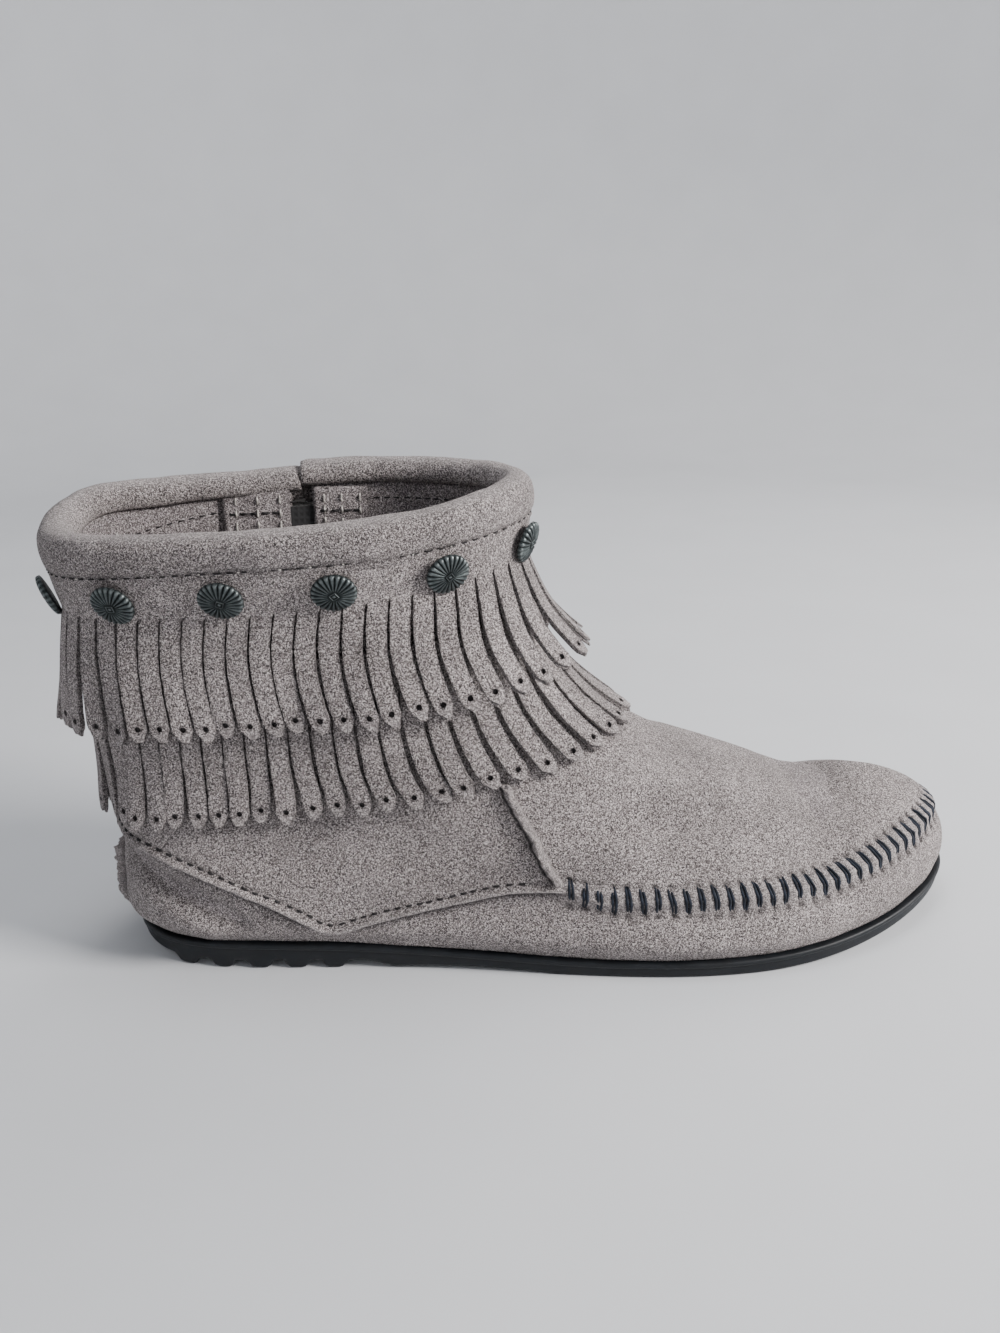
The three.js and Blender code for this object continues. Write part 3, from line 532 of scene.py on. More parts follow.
def suede(name, tint=(1, 1, 1), grain=1.0, contrast=1.0):
    n = Nodes(name)
    tufts = n.noise(0.46, 2, 0.75, distortion=0.5)
    fibres = n.noise(0.24, 1, 0.7)
    nap = n.math("SUBTRACT", n.weigh(tufts, fibres, 0.55), 0.5)
    nap = n.math("MULTIPLY_ADD", nap, contrast, 0.5)
    stops = ((0.42, (0.032, 0.027, 0.0275)), (0.5, (0.168, 0.145, 0.142)), (0.6, (0.7, 0.635, 0.62)))
    colour = n.ramp(nap, *((place, np.multiply(tone, tint)) for place, tone in stops))
    patches = n.span(n.noise(26, 3, 0.55), 0.3, 0.7, 0.83, 1.16)
    stretched = n.add("ShaderNodeMapping", {"Vector": n.place, "Scale": (1, 1, 0.45)}).outputs["Vector"]
    streaks = n.span(n.noise(5.5, 3, 0.6, stretched), 0.3, 0.7, 0.93, 1.07)
    colour = n.mix(1.0, colour, n.math("MULTIPLY", patches, streaks), "MULTIPLY")
    # The mesh's lighter paint mixes in a paler, pinker suede as a painted highlight, and its dark paint lays
    # painted shade over the colour
    colour = n.painted(colour, "wear_and_highlight", 0.7, n.mix(0.5, colour, (0.52, 0.48, 0.47, 1)))
    colour = n.painted(colour, "dark", 0.92, (0.028, 0.025, 0.027, 1))
    return n.surface(base_color=colour, roughness=0.95, specular_ior_level=0.12, sheen_weight=0.22,
                     sheen_roughness=0.45, sheen_tint=(0.9, 0.84, 0.82, 1),
                     normal=n.bump(n.weigh(tufts, fibres, 0.7), 1.05 * grain))


def rubber(name):
    n = Nodes(name)
    mottle = n.noise(3.2, 4, 0.6)
    dust = n.span(n.noise(18, 4, 0.65), 0.45, 0.75)
    base = n.ramp(mottle, (0.3, (0.0035, 0.0045, 0.006)), (0.7, (0.0075, 0.0095, 0.0125)))
    colour = n.mix(n.math("MULTIPLY", dust, 0.08), base, (0.06, 0.056, 0.052, 1))
    return n.surface(base_color=colour, roughness=n.span(mottle, 0.3, 0.7, 0.4, 0.58),
                     specular_ior_level=0.3, normal=n.bump(n.noise(0.9, 3, 0.6), 0.12, 0.5))


def thread(name, colour, twist_mm=0.7):
    n = Nodes(name)
    lay = n.wave(1 / (twist_mm * MM) / 6.3, "DIAGONAL", 1.5)
    tint = n.ramp(n.weigh(lay, n.noise(0.6, 2, 0.6), 0.5), (0.25, dimmed(colour)), (0.8, colour))
    return n.surface(base_color=tint, roughness=0.8, specular_ior_level=0.25, sheen_weight=0.04,
                     normal=n.bump(lay, 0.18, 0.8))


def aged_metal(name, dark, bright, low_rough, high_rough):
    n = Nodes(name)
    # The lighter paint makes the metal paler and less rough: wear on its raised parts, with a painted
    # highlight on the discs' flute crests
    wear = n.add("ShaderNodeAttribute", attribute_name="wear_and_highlight").outputs["Fac"]
    tarnish = n.span(n.noise(1.6, 4, 0.65), 0.45, 0.75, 0, 0.3)
    amount = n.math("ADD", n.math("MULTIPLY", wear, 0.8), tarnish, clamp=True)
    colour = n.painted(n.mix(amount, (*dark, 1), (*bright, 1)), "dark", 0.9, (0.006, 0.008, 0.008, 1))
    return n.surface(base_color=colour, metallic=0.85, roughness=n.span(amount, 0, 1, high_rough, low_rough),
                     normal=n.bump(n.noise(0.5, 3, 0.6), 0.05, 0.5))


def woven(name, colour):
    n = Nodes(name)
    weave = n.math("MAXIMUM", n.wave(180, "X"), n.wave(160, "Z"))
    wear = n.span(n.noise(0.8), 0.3, 0.7, 0.8, 1.1)
    tint = n.ramp(n.math("MULTIPLY", weave, wear), (0.3, dimmed(colour)), (0.9, colour))
    return n.surface(base_color=tint, roughness=0.85, sheen_weight=0.2, normal=n.bump(weave, 0.15, 0.7))


def insole_leather(name):
    n = Nodes(name)
    pores = n.noise(0.7, 3, 0.6)
    colour = n.ramp(n.noise(30, 4, 0.6), (0.3, (0.2, 0.165, 0.14)), (0.7, (0.34, 0.29, 0.25)))
    return n.surface(base_color=colour, roughness=n.span(pores, 0.3, 0.7, 0.7, 0.9), specular_ior_level=0.3,
                     normal=n.bump(pores, 0.15, 0.5))


def stage_paper(name, colour):
    n = Nodes(name)
    tint = n.ramp(n.noise(60, 4, 0.5), (0.3, dimmed(colour, 0.965)), (0.7, colour))
    return n.surface(base_color=tint, roughness=0.9, normal=n.bump(n.noise(1.5, 3, 0.6), 0.04, 0.3))


SUEDE = suede("suede")
RAW_SUEDE = suede("raw_suede", (0.92, 0.9, 0.9), 1.4, 1.1)
LINING = suede("lining_suede", (0.98, 0.98, 1.0), 0.8, 0.8)
RUBBER = rubber("rubber")
WHIP_THREAD = thread("whip_thread", (0.016, 0.021, 0.033), 1.1)
GREY_THREAD = thread("grey_thread", (0.03, 0.027, 0.028))
PALE_THREAD = thread("pale_thread", (0.62, 0.58, 0.54))
DISC_METAL = aged_metal("disc_metal", (0.024, 0.03, 0.031), (0.16, 0.18, 0.18), 0.36, 0.55)
ZIP_METAL = aged_metal("zip_metal", (0.12, 0.115, 0.11), (0.45, 0.43, 0.4), 0.22, 0.42)
ZIP_CLOTH = woven("zip_cloth", (0.014, 0.013, 0.014))
INSOLE = insole_leather("insole_leather")


# Meshes
def new_object(name, data):
    thing = bpy.data.objects.new(name, data)
    bpy.context.scene.collection.objects.link(thing)
    return thing


def grid_numbers(rows, columns, start=0):
    return np.arange(rows * columns).reshape(rows, columns) + start


def grid_faces(numbers):
    """Four-sided faces between the rows and columns of a table of point numbers."""
    a, b, c, d = numbers[:-1, :-1], numbers[1:, :-1], numbers[1:, 1:], numbers[:-1, 1:]
    return np.stack([a, b, c, d], -1).reshape(-1, 4).tolist()


def ring_faces(numbers):
    """Faces of a table whose last column meets its first."""
    return grid_faces(np.hstack([numbers, numbers[:, :1]]))


def bridge(a, b):
    """Faces between two rows of point numbers."""
    return grid_faces(np.stack([a, b]))


def edges_of(numbers):
    return numbers[0], numbers[-1], numbers[:, 0], numbers[:, -1]


def merged(faces):
    """Faces without the corners that fall on one point."""
    return [list(dict.fromkeys(face)) for face in faces]


def zipper_faces(a, b):
    """Triangles between two rows of point numbers of different lengths."""
    faces, i, j = [], 0, 0
    while i < len(a) - 1 or j < len(b) - 1:
        if j == len(b) - 1 or (i < len(a) - 1 and (i + 1) / (len(a) - 1) <= (j + 1) / (len(b) - 1)):
            faces.append([a[i], a[i + 1], b[j]])
            i += 1
        else:
            faces.append([a[i], b[j + 1], b[j]])
            j += 1
    return faces


def sheet(outer, inner):
    """Points and faces of a sheet from its two sides, given as grids, with its four edges closed."""
    top = grid_numbers(*outer.shape[:2])
    faces = grid_faces(top) + grid_faces(top + top.size)
    for edge in edges_of(top):
        faces += bridge(edge, edge + top.size)
    return np.stack([outer, inner]).reshape(-1, 3), faces


def tube(path, radius, up, sides=6):
    """A closed tube along a path, with a frame that keeps to the given up directions."""
    forward = unit(np.gradient(path, axis=0))
    across = unit(np.cross(forward, up))
    up = np.cross(across, forward)
    turns = np.arange(sides)[:, None] * TURN / sides
    points = path[:, None] + radius * (np.cos(turns) * across[:, None] + np.sin(turns) * up[:, None])
    numbers = grid_numbers(len(path), sides)
    return points, ring_faces(numbers) + [numbers[0][::-1].tolist(), numbers[-1].tolist()]


def add_piece(name, points, faces, material, slot, replaces=(), dark=0.0, wear_and_highlight=0.0, sharp=0):
    """A piece of the boot from points in millimetres. Points that no face uses are left out, and the dark
    paint (painted shade, on the discs the darker hollows) and the lighter paint (painted highlight and wear)
    are repeated where they have fewer values than there are points."""
    points = np.reshape(points, (-1, 3))
    used = np.unique(np.concatenate([np.ravel(face) for face in faces]))
    number = np.full(len(points), -1)
    number[used] = np.arange(len(used))
    mesh = bpy.data.meshes.new(name)
    places = (points[used] - (HEEL_SETBACK, 0, 0)) * MM
    mesh.from_pydata(places.tolist(), [], [number[list(face)].tolist() for face in faces])
    for key, values in (("dark", dark), ("wear_and_highlight", wear_and_highlight)):
        values = np.resize(values, len(points))[used].astype(np.float32)
        mesh.attributes.new(key, "FLOAT", "POINT").data.foreach_set("value", values)
    work = bmesh.new()
    work.from_mesh(mesh)
    bmesh.ops.recalc_face_normals(work, faces=work.faces)
    work.to_mesh(mesh)
    work.free()
    mesh.shade_smooth()
    if sharp:
        mesh.set_sharp_from_angle(angle=math.radians(sharp))
    mesh.materials.append(material)
    piece = new_object(name, mesh)
    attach(piece, "boot")
    if replaces:
        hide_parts(*replaces)
    return piece


class Shape:
    """Gathers the points and faces of one piece."""

    def __init__(self):
        self.points, self.faces, self.paint, self.count = [], [], [], 0

    def add(self, points, faces, dark=0.0, wear_and_highlight=0.0):
        points = np.reshape(points, (-1, 3))
        self.points.append(points)
        self.faces.extend((np.asarray(face) + self.count).tolist() for face in faces)
        self.paint.append([np.resize(values, len(points)) for values in (dark, wear_and_highlight)])
        self.count += len(points)

    def piece(self, name, material, slot, **options):
        dark, wear_and_highlight = np.hstack(self.paint)
        points = np.concatenate(self.points)
        return add_piece(name, points, self.faces, material, slot, dark=dark, wear_and_highlight=wear_and_highlight, **options)


# Places beside the zip and on the lining
def turn_rate(angle, level):
    """Millimetres round the wall for each radian."""
    return size(around(angle, level, 0.01)) / 0.02


def zip_angle_on(level_of):
    """Where the zip crosses a row of places, given their level at each angle."""
    angle = ZIP_ANGLE
    for _ in range(5):
        angle = float(side_angle(ZIP_X, level_of(angle), True))
    return angle


def lining_point(angle, level, depth=0):
    return wall_point(angle, level) - wall_normal(angle, level) * np.asarray(WALL + depth)[..., None]


# The upper
COLUMNS = 640
LOWER_ROWS = 34
UPPER_ROWS = 78
LINING_ROWS = 16
APRON_DENSITY = 1.9
FINE_TURNS = np.linspace(0, TURN, 4001)


def column_turns():
    """Turns from the zip round the boot and back, closer together along the apron's seam."""
    angles = ZIP_ANGLE - 0.45 + FINE_TURNS
    along = seam_length(angles)
    weight = np.where((along > APRON_START - 4) & (along < APRON_END + 4), APRON_DENSITY, 1)
    steps = size(np.diff(wall_point(angles, seam_level(angles)), axis=0)) * weight[1:]
    total = np.concatenate([[0], np.cumsum(steps)])
    return np.interp(np.linspace(0, total[-1], COLUMNS), total, FINE_TURNS)


TURNS = column_turns()


def wall_rows(level_of, shares):
    """Angles and levels of rows of the wall that part at the zip, and whether each row is parted."""
    angles, levels, parted = [], [], []
    for share in shares:
        start = zip_angle_on(lambda angle: level_of(angle, share))
        level = float(level_of(start, share))
        height = wall_point(start, level)[2]
        gap = SLOT_WIDTH / 2 / turn_rate(start, level) * float(smooth((height - ZIP_FOOT) / 3))
        angles.append(start + gap + TURNS * (TURN - 2 * gap) / TURN)
        levels.append(level_of(angles[-1], share))
        parted.append(height > ZIP_FOOT)
    return np.array(angles), np.array(levels), parted


def row_numbers(parted, start=0):
    """Point numbers of rows of the wall. A row that isn't parted ends on its own first point."""
    numbers = grid_numbers(len(parted), COLUMNS, start)
    whole = ~np.array(parted)
    numbers[whole, -1] = numbers[whole, 0]
    return numbers


def build_upper():
    climb = 0.995 * (1 - (1 - np.linspace(0, 1, LOWER_ROWS)) ** 1.5)
    lower = wall_rows(lambda angle, share: seam_level(angle) * share, climb)
    reach = np.linspace(0, 1, UPPER_ROWS) ** 1.55
    upper = wall_rows(lambda angle, share: lerp(seam_level(angle) + 0.004, TOP, share), reach)
    inside = wall_rows(lambda angle, share: TOP * share + 0 * angle, np.linspace(0, 1, LINING_ROWS))
    angle, level = (np.vstack([lower[i], upper[i]]) for i in range(2))
    parted = lower[2] + upper[2]
    offset, dark, wear_and_highlight = outer_relief(angle, level)
    outer = wall_point(angle, level) + wall_normal(angle, level) * offset[..., None]
    outer_numbers = row_numbers(parted)
    inner_numbers = row_numbers(inside[2], outer_numbers.size)
    outer_faces, inner_faces = grid_faces(outer_numbers), grid_faces(inner_numbers)
    faces = outer_faces + inner_faces
    for row in (0, -1):
        faces += bridge(outer_numbers[row], inner_numbers[row])
    first, inner_first = parted.index(True), inside[2].index(True)
    for column in (0, -1):
        faces += zipper_faces(outer_numbers[first - 1:, column], inner_numbers[inner_first - 1:, column])
    points = np.concatenate([outer, lining_point(*inside[:2])])
    bare = np.zeros(inner_numbers.shape)
    piece = add_piece("upper_leather", points, faces, SUEDE, "suede", replaces=["upper"],
                      dark=np.vstack([dark, bare]), wear_and_highlight=np.vstack([wear_and_highlight, bare]))
    piece.data.materials.append(LINING)
    index = np.zeros(len(piece.data.polygons), np.int32)
    index[len(outer_faces):][:len(inner_faces)] = 1
    piece.data.polygons.foreach_set("material_index", index)


build_upper()

# The collar's roll: places on its section out from the wall and up from its edge
ROLL_SECTION = np.array([
    [2.6, -9.6], [3.5, -9.2], [4, -8.3], [4.35, -6.9], [4.95, -4.5], [5.25, -1.8], [4.95, 0.9], [3.75, 2.8],
    [1.7, 3.7], [-0.8, 3.75], [-3, 2.8], [-4.3, 1.3], [-4.8, -0.4], [-4.5, -2], [-3.6, -3.1], [-2.4, -3.5],
    [-2.3, 0.3], [0.5, 0.3], [0.5, -8.4],
])
ROLL_MIDDLE = (0.2, -2)
ROLL_ROW = -7.4
ROLL_FACE = 3.75
ROLL_GAP = 0.1
ROLL_HUMP = 5.6
ZIP_DIP = 1.8
OUTER_DIP = 1.4
LINING_ROW = 8.6
ROLL_POINTS = 54
ROLL_COLUMNS = 420


def closed_spline(points, count):
    """Even places on a smooth closed curve through the given points."""
    t = np.arange(len(points) * 12) / 12
    base = np.floor(t).astype(int)
    curve = spline(*(points[(base + i) % len(points)] for i in (-1, 0, 1, 2)), (t - base)[:, None])
    curve = np.vstack([curve, curve[:1]])
    length = lengths_along(curve)
    even = np.linspace(0, length[-1], count, endpoint=False)
    return [np.interp(even, length, values) for values in curve.T]


def turn_from(angle, centre):
    return np.mod(angle - centre + math.pi, TURN) - math.pi


def roll_angles(count, gap_mm):
    gap = gap_mm / turn_rate(ZIP_ANGLE, TOP)
    return ZIP_ANGLE + gap + np.linspace(0, TURN - 2 * gap, count)


def roll_place(angle, out, up):
    """Points on the roll, which rises at the back and dips on the outer side and just behind the zip."""
    angle, out, up = same_shape(angle, out, up)
    rim = wall_point(angle, TOP)[..., 2]
    level = np.where(up < 0, level_at_height(angle, rim + np.minimum(up, 0)), TOP)
    foot = wall_point(angle, level)
    turned = turn_from(angle, ZIP_ANGLE)
    from_heel = math.degrees(TURN - ZIP_ANGLE) - np.degrees(turned)
    hump = ROLL_HUMP * bell((from_heel - 20) / 24)
    dip = np.where(turned > 0, ZIP_DIP * smooth((from_heel - 50) / 30), 0.3 * bell(turned / 0.3))
    dip = dip + OUTER_DIP * bell(turn_from(angle, TURN / 4) / 0.8) * smooth((up + 1) / 3)
    held = 0.45 * smooth((0.5 - out) / 2)
    foot[..., 2] = rim + up + (hump - dip) * lerp(smooth((up + 8) / 8), 1, held)
    return foot + flat_normal(angle, TOP) * out[..., None]


def build_roll():
    section = closed_spline(ROLL_SECTION, ROLL_POINTS)
    out, up = (values[:, None] + np.zeros(ROLL_COLUMNS) for values in section)
    angle = roll_angles(ROLL_COLUMNS, ROLL_GAP)
    flat = roll_place(angle, out, up)
    puff = value_noise(flat, 14, 21) * 0.45 + value_noise(flat, 5, 22) * 0.18
    ends = np.minimum(np.arange(ROLL_COLUMNS), np.arange(ROLL_COLUMNS)[::-1])
    close = 1 - 0.07 * (1 - smooth(ends / 2))
    outside = smooth((out + 1) / 3)
    stitch = bell((up - ROLL_ROW) / 0.8) * outside
    out = lerp(ROLL_MIDDLE[0], out, close) + puff * np.sign(out) * smooth(np.abs(out) / 3) - 0.55 * stitch
    up = lerp(ROLL_MIDDLE[1], up, close) + puff * smooth(up / 3)
    numbers = grid_numbers(ROLL_POINTS, ROLL_COLUMNS)
    faces = grid_faces(np.vstack([numbers, numbers[:1]])) + numbers[:, [0, -1]].T.tolist()
    # Painted shade along the roll's stitch row, the roll's outer face a little darker, and a painted
    # highlight along its crest
    add_piece("collar_roll_leather", roll_place(angle, out, up), faces, SUEDE, "suede",
              replaces=["collar_roll"], dark=np.clip(0.5 * stitch + 0.08 * outside, 0, 1),
              wear_and_highlight=0.5 * smooth((up - 2.2) / 1.2))


build_roll()

# The fringe
STRIP_COLUMNS = 9
STRIP_ROWS = 17
HOLE_ROW, HOLE_COLUMN = STRIP_ROWS + 1, STRIP_COLUMNS // 2
HOLE_RADIUS = 0.85
HOLE_ABOVE_TIP = 3.6
TIP_BLUNT = 0.32
BAND_ROWS = 9
BAND_SAMPLES = 721
LAYER_GAP = 0.62
REAR_DEPTH = 0.217


def fringe_height(layer, edge, angle):
    """Height of a row's top, of the ends of its slits or of its tips."""
    if layer[edge] is None:
        return wall_point(angle, TOP)[..., 2] - ROLL_DROP - CLEARANCE
    share = layer["tip_share" if edge == "tip" else "top_share"]
    lift = share * INNER_RISE * np.minimum(np.sin(angle), 0) ** 2
    along = (1 - np.cos(angle)) / 2
    return HEEL_THICKNESS + WALL_HEIGHT * lerp(*layer[edge], along**FRINGE_SWEEP) + lift


def band_point(layer, angle, share, offset):
    levels = (level_at_height(angle, fringe_height(layer, edge, angle)) for edge in ("top", "slit"))
    ends = (skin_point(angle, level, gap + offset) for level, gap in zip(levels, layer["gaps"]))
    return lerp(*ends, share[..., None])


def strip_point(layer, angle, share):
    back = np.maximum(np.cos(angle), 0) ** 2
    front = np.maximum(-np.cos(angle), 0) ** 2
    tip_gap = sum(part * gap for part, gap in zip((back, 1 - back - front, front), layer["tip_gaps"]))
    height = lerp(fringe_height(layer, "slit", angle), fringe_height(layer, "tip", angle), share)
    turned = angle - layer["drift"] * np.sin(angle) * share
    return skin_point(turned, level_at_height(turned, height), lerp(layer["gaps"][1], tip_gap, share))


def strip_path(layer, angle, looks, rear):
    """A strip's middle line with its cross and outward directions, and the distance along it."""
    shares = np.linspace(0, 1, 25)
    middle = strip_point(layer, angle, shares)
    across = strip_point(layer, angle + 0.01, shares) - strip_point(layer, angle - 0.01, shares)
    down = unit(np.gradient(middle, axis=0))
    across = unit(across - down * (across * down).sum(-1, keepdims=True))
    out = unit(np.cross(across, -down))
    bend = looks["curl"] * shares**2 + looks["belly"] * np.sin(math.pi * shares) * shares - rear * shares
    sway = looks["sway"] * shares**2 + looks["wave"] * np.sin(TURN * shares * 0.8) * shares
    sway += looks["bulge"] * np.sin(math.pi * shares**1.2)
    middle = middle + out * bend[:, None] + across * sway[:, None]
    twist = (looks["twist"] * shares**1.5)[:, None]
    turned = across * np.cos(twist) + out * np.sin(twist)
    out = unit(np.cross(turned, -unit(np.gradient(middle, axis=0))))
    return middle, turned, out, lengths_along(middle)


def strip_looks(angle, number):
    """How a strip bends, sways and twists. Strips are freer at the back and in front."""
    spread = 1 + 1.3 * max(math.cos(angle), 0) + 0.8 * max(-math.cos(angle), 0)
    forward = float(smooth((angle - 1.7) / 0.4)) if angle < math.pi else 0
    return {
        "curl": rng.normal(0.35, 0.3) * spread,
        "belly": rng.normal(0.15, 0.22) * spread,
        "sway": rng.normal(0, 0.26) * spread - (2.2, 1.0)[number] * forward,
        "wave": rng.normal(0, 0.12) * spread,
        "bulge": (1.1, 0)[number] * bell((angle - 0.75) / 0.4),
        "twist": rng.normal(0, 0.06) * spread,
        "extra": rng.normal(0, 0.6) * 0.6,
        "cup": rng.normal(0.1, 0.05),
    }


def strip_grid(path, width, extra, cup, offsets, hole, seed):
    """The two faces of a strip as grids. Where it has a hole, eight points lie round it."""
    middle, across, out, length = path
    full = length[-1] + extra
    hole_at = full - HOLE_ABOVE_TIP
    rest = np.array([-HOLE_RADIUS, 0, HOLE_RADIUS, 1.6, 2.4, 2.95, HOLE_ABOVE_TIP])
    lengthways = np.concatenate([np.linspace(0, hole_at - 1.7, STRIP_ROWS), hole_at + rest])[:, None]
    half = width / 2 * np.minimum(1, TIP_BLUNT + (1 - TIP_BLUNT) * (full - lengthways) / TIP_LENGTH)
    c = np.linspace(-1, 1, STRIP_COLUMNS)
    a = half * c
    b = np.repeat(lengthways, STRIP_COLUMNS, 1)
    rough = value_noise(np.stack([b, a * 0 + seed * 3.7, np.sign(a) * 9], -1), 0.9, 5)
    a = a + np.sign(a) * (np.abs(c) > 0.99) * 0.16 * rough * smooth(b / 2)
    b = b + 0.14 * rough * (b > hole_at + 1.5)
    if hole:
        for turn in np.arange(8) * TURN / 8:
            x, y = math.cos(turn), math.sin(turn)
            spot = HOLE_ROW + round(1.3 * y), HOLE_COLUMN + round(1.3 * x)
            a[spot], b[spot] = HOLE_RADIUS * x, hole_at + HOLE_RADIUS * y
    reach = np.clip(b, 0, None)
    centre, side, face = (np.stack([np.interp(reach, length, values) for values in rows.T], -1)
                          for rows in (middle, across, out))
    centre = centre + np.maximum(reach - length[-1], 0)[..., None] * unit(middle[-1] - middle[-3])
    base = centre + side * a[..., None] - face * (cup * (a / (width / 2)) ** 2 * smooth(b / 6))[..., None]
    return [base + face * offset for offset in offsets]


def build_fringe(layer, number):
    start = zip_angle_on(lambda angle: level_at_height(angle, fringe_height(layer, "slit", angle)))
    angles = start + np.linspace(0, TURN, BAND_SAMPLES)
    lengths = lengths_along(band_point(layer, angles, np.ones(BAND_SAMPLES), 0))
    room = lengths[-1] - ZIP_GAP
    count = int(round(room / STRIP_PITCH))
    pitch = room / count
    width = pitch - SLIT_WIDTH
    centres = ZIP_GAP / 2 + (np.arange(count) + 0.5) * pitch
    columns = (centres[:, None] + np.linspace(-0.5, 0.5, STRIP_COLUMNS) * width).ravel()
    columns = np.interp(columns, lengths, angles)
    shares, wide_angles = np.meshgrid(np.linspace(0, 1, BAND_ROWS), columns, indexing="ij")
    band = []
    for offset in (FRINGE_THICKNESS, 0):
        grid = band_point(layer, wide_angles, shares, offset)
        soft = value_noise(grid, 13, 31 + number) * 0.35 * np.sin(math.pi * shares)
        band.append(grid + wall_normal(wide_angles, 9) * soft[..., None])
    shape = Shape()
    strips = []
    for k, angle in enumerate(np.interp(centres, lengths, angles)):
        looks = strip_looks(angle, number)
        grids = strip_grid(strip_path(layer, angle, looks, 0), width, looks["extra"], looks["cup"],
                           (FRINGE_THICKNESS, LAYER_GAP), True, k)
        strips.append(grids)
        for side, grid in zip(band, grids):
            side[-1, k * STRIP_COLUMNS:(k + 1) * STRIP_COLUMNS] = grid[0]
        rear_looks = dict(looks, sway=looks["sway"] + rng.normal(0, 0.3), twist=looks["twist"] * 0.7)
        back = strip_grid(strip_path(layer, angle, rear_looks, REAR_DEPTH), width * 0.97,
                          looks["extra"] + rng.uniform(0.1, 1.1), looks["cup"], (0.56, 0), False, k + 500)
        keep = np.r_[0:STRIP_ROWS:3, STRIP_ROWS - 1:len(back[0])]
        shade = np.full((2, len(keep), STRIP_COLUMNS // 2 + 1), 0.4)
        shade[0, -8:-4, 1:-1] = 1
        shape.add(*sheet(*(grid[keep][:, ::2] for grid in back)), shade)
    shape.add(*sheet(*band))
    numbers = grid_numbers(len(strips[0][0]), STRIP_COLUMNS)
    hole = np.s_[HOLE_ROW - 1:HOLE_ROW + 2, HOLE_COLUMN - 1:HOLE_COLUMN + 2]
    rim = numbers[hole].ravel()[[0, 1, 2, 5, 8, 7, 6, 3, 0]]
    faces = [face for face in grid_faces(numbers) if numbers[HOLE_ROW, HOLE_COLUMN] not in face]
    faces += [[n + numbers.size for n in face] for face in faces]
    for edge in (*edges_of(numbers), rim):
        faces += bridge(edge, edge + numbers.size)
    dark, wear_and_highlight = np.zeros((2, 2, *numbers.shape))
    # Painted shade along the strips' cut edges and round their holes, darkest on the inner face, and a
    # painted highlight on the tips
    dark[:, :, [0, -1]] = 0.42
    dark[0][hole] = 0.5
    dark[1][hole] = 1
    wear_and_highlight[:, -4:] = 0.45
    for grids in strips:
        shape.add(np.stack(grids), faces, dark, wear_and_highlight)
    shape.piece(layer["name"] + "_leather", SUEDE, "suede", replaces=[layer["name"]], sharp=50)


for number, layer in enumerate(FRINGES):
    build_fringe(layer, number)

# The discs
DISC_RADIUS = 5.9
DISC_RISE = 2.1
DISC_FLUTES = 23
DISC_SIDES = 8 * DISC_FLUTES
DISC_TILT = math.radians(16)
DISC_LIFT = 0.85


def disc_frame(name):
    """Middle of a disc's back, its outward direction and two along its back, read from its solid."""
    points = np.array([v.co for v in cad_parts[name].data.vertices]) / MM + (HEEL_SETBACK, 0, 0)
    points = np.unique(np.round(points, 4), axis=0)
    middle = points.mean(0)
    normal = np.linalg.svd(points - middle)[2][2]
    shaft = np.array([SOLE_LENGTH * LEVELS[-1, :2].mean(), 0, middle[2]])
    if normal @ (middle - shaft) < 0:
        normal = -normal
    heights = (points - middle) @ normal
    centre = points[heights < heights.min() + 0.9].mean(0)
    centre = centre + normal * (heights.min() - (centre - middle) @ normal)
    side = unit(np.cross(normal, [0, 0, 1]))
    return centre, normal, side, np.cross(normal, side)


def build_discs():
    hub = np.array([0, 0.045, 0.075, 0.12, 0.15, 0.185])
    hub_rise = np.array([0.22, 0.22, 0, 0, 0.26, -0.06])
    radii = np.concatenate([hub, [0.3, 0.37, 0.48, 0.6, 0.72, 0.83, 0.91, 0.96, 0.99, 1.0, 0.985, 0.9]])
    r, t = np.meshgrid(radii, np.arange(DISC_SIDES) * TURN / DISC_SIDES, indexing="ij")
    r[:len(hub)] /= np.maximum(np.abs(np.cos(t)), np.abs(np.sin(t)))[:len(hub)]
    flute = np.abs(np.cos(t * DISC_FLUTES / 2)) ** 0.8
    strength = smooth((r - 0.24) / 0.14) * (0.6 + 0.4 * r)
    dome = 0.55 + (DISC_RISE - 0.65) * np.sqrt(np.clip(1 - (r * 0.97) ** 2, 0, 1))
    height = dome + 0.5 * (flute - 0.5) * strength
    height[:len(hub)] += hub_rise[:, None]
    height[-4:] = np.outer([0.3, 0.22, 0, 0], flute[0]) + [[0.62], [0.45], [0.1], [0]]
    reach = r * (1 + 0.022 * (flute - 0.5) * (r > 0.8)) * DISC_RADIUS
    numbers = grid_numbers(*r.shape)
    numbers[0] = 0
    faces = merged(ring_faces(numbers)) + [numbers[-1].tolist()]
    dark = np.clip((0.45 - flute) * 2.2, 0, 1) * strength * (r < 0.97)
    dark[[2, 3, 5]] = 0.9
    # Flute crests, the rim's ring and the hub's raised parts get the lighter paint: wear on the raised metal
    # and a painted highlight
    wear_and_highlight = np.clip(flute - 0.72, 0, 1) * 2.2 * strength + 0.5 * (np.abs(r - 0.93) < 0.05) * (flute > 0.6)
    wear_and_highlight[[0, 1, 4]] = 0.8
    for name in sorted(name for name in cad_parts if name.startswith("concho_")):
        centre, normal, side, up = disc_frame(name)
        spin = t + rng.uniform(0, TURN)
        tilted = math.cos(DISC_TILT) * normal + math.sin(DISC_TILT) * up
        up = math.cos(DISC_TILT) * up - math.sin(DISC_TILT) * normal
        places = np.stack([reach * np.cos(spin), reach * np.sin(spin), height + DISC_LIFT], -1)
        points = centre + places @ np.array([side, up, tilted])
        add_piece(name.replace("concho", "disc"), points, faces, DISC_METAL, "disc_metal",
                  replaces=[name], dark=dark, wear_and_highlight=wear_and_highlight, sharp=60)


build_discs()


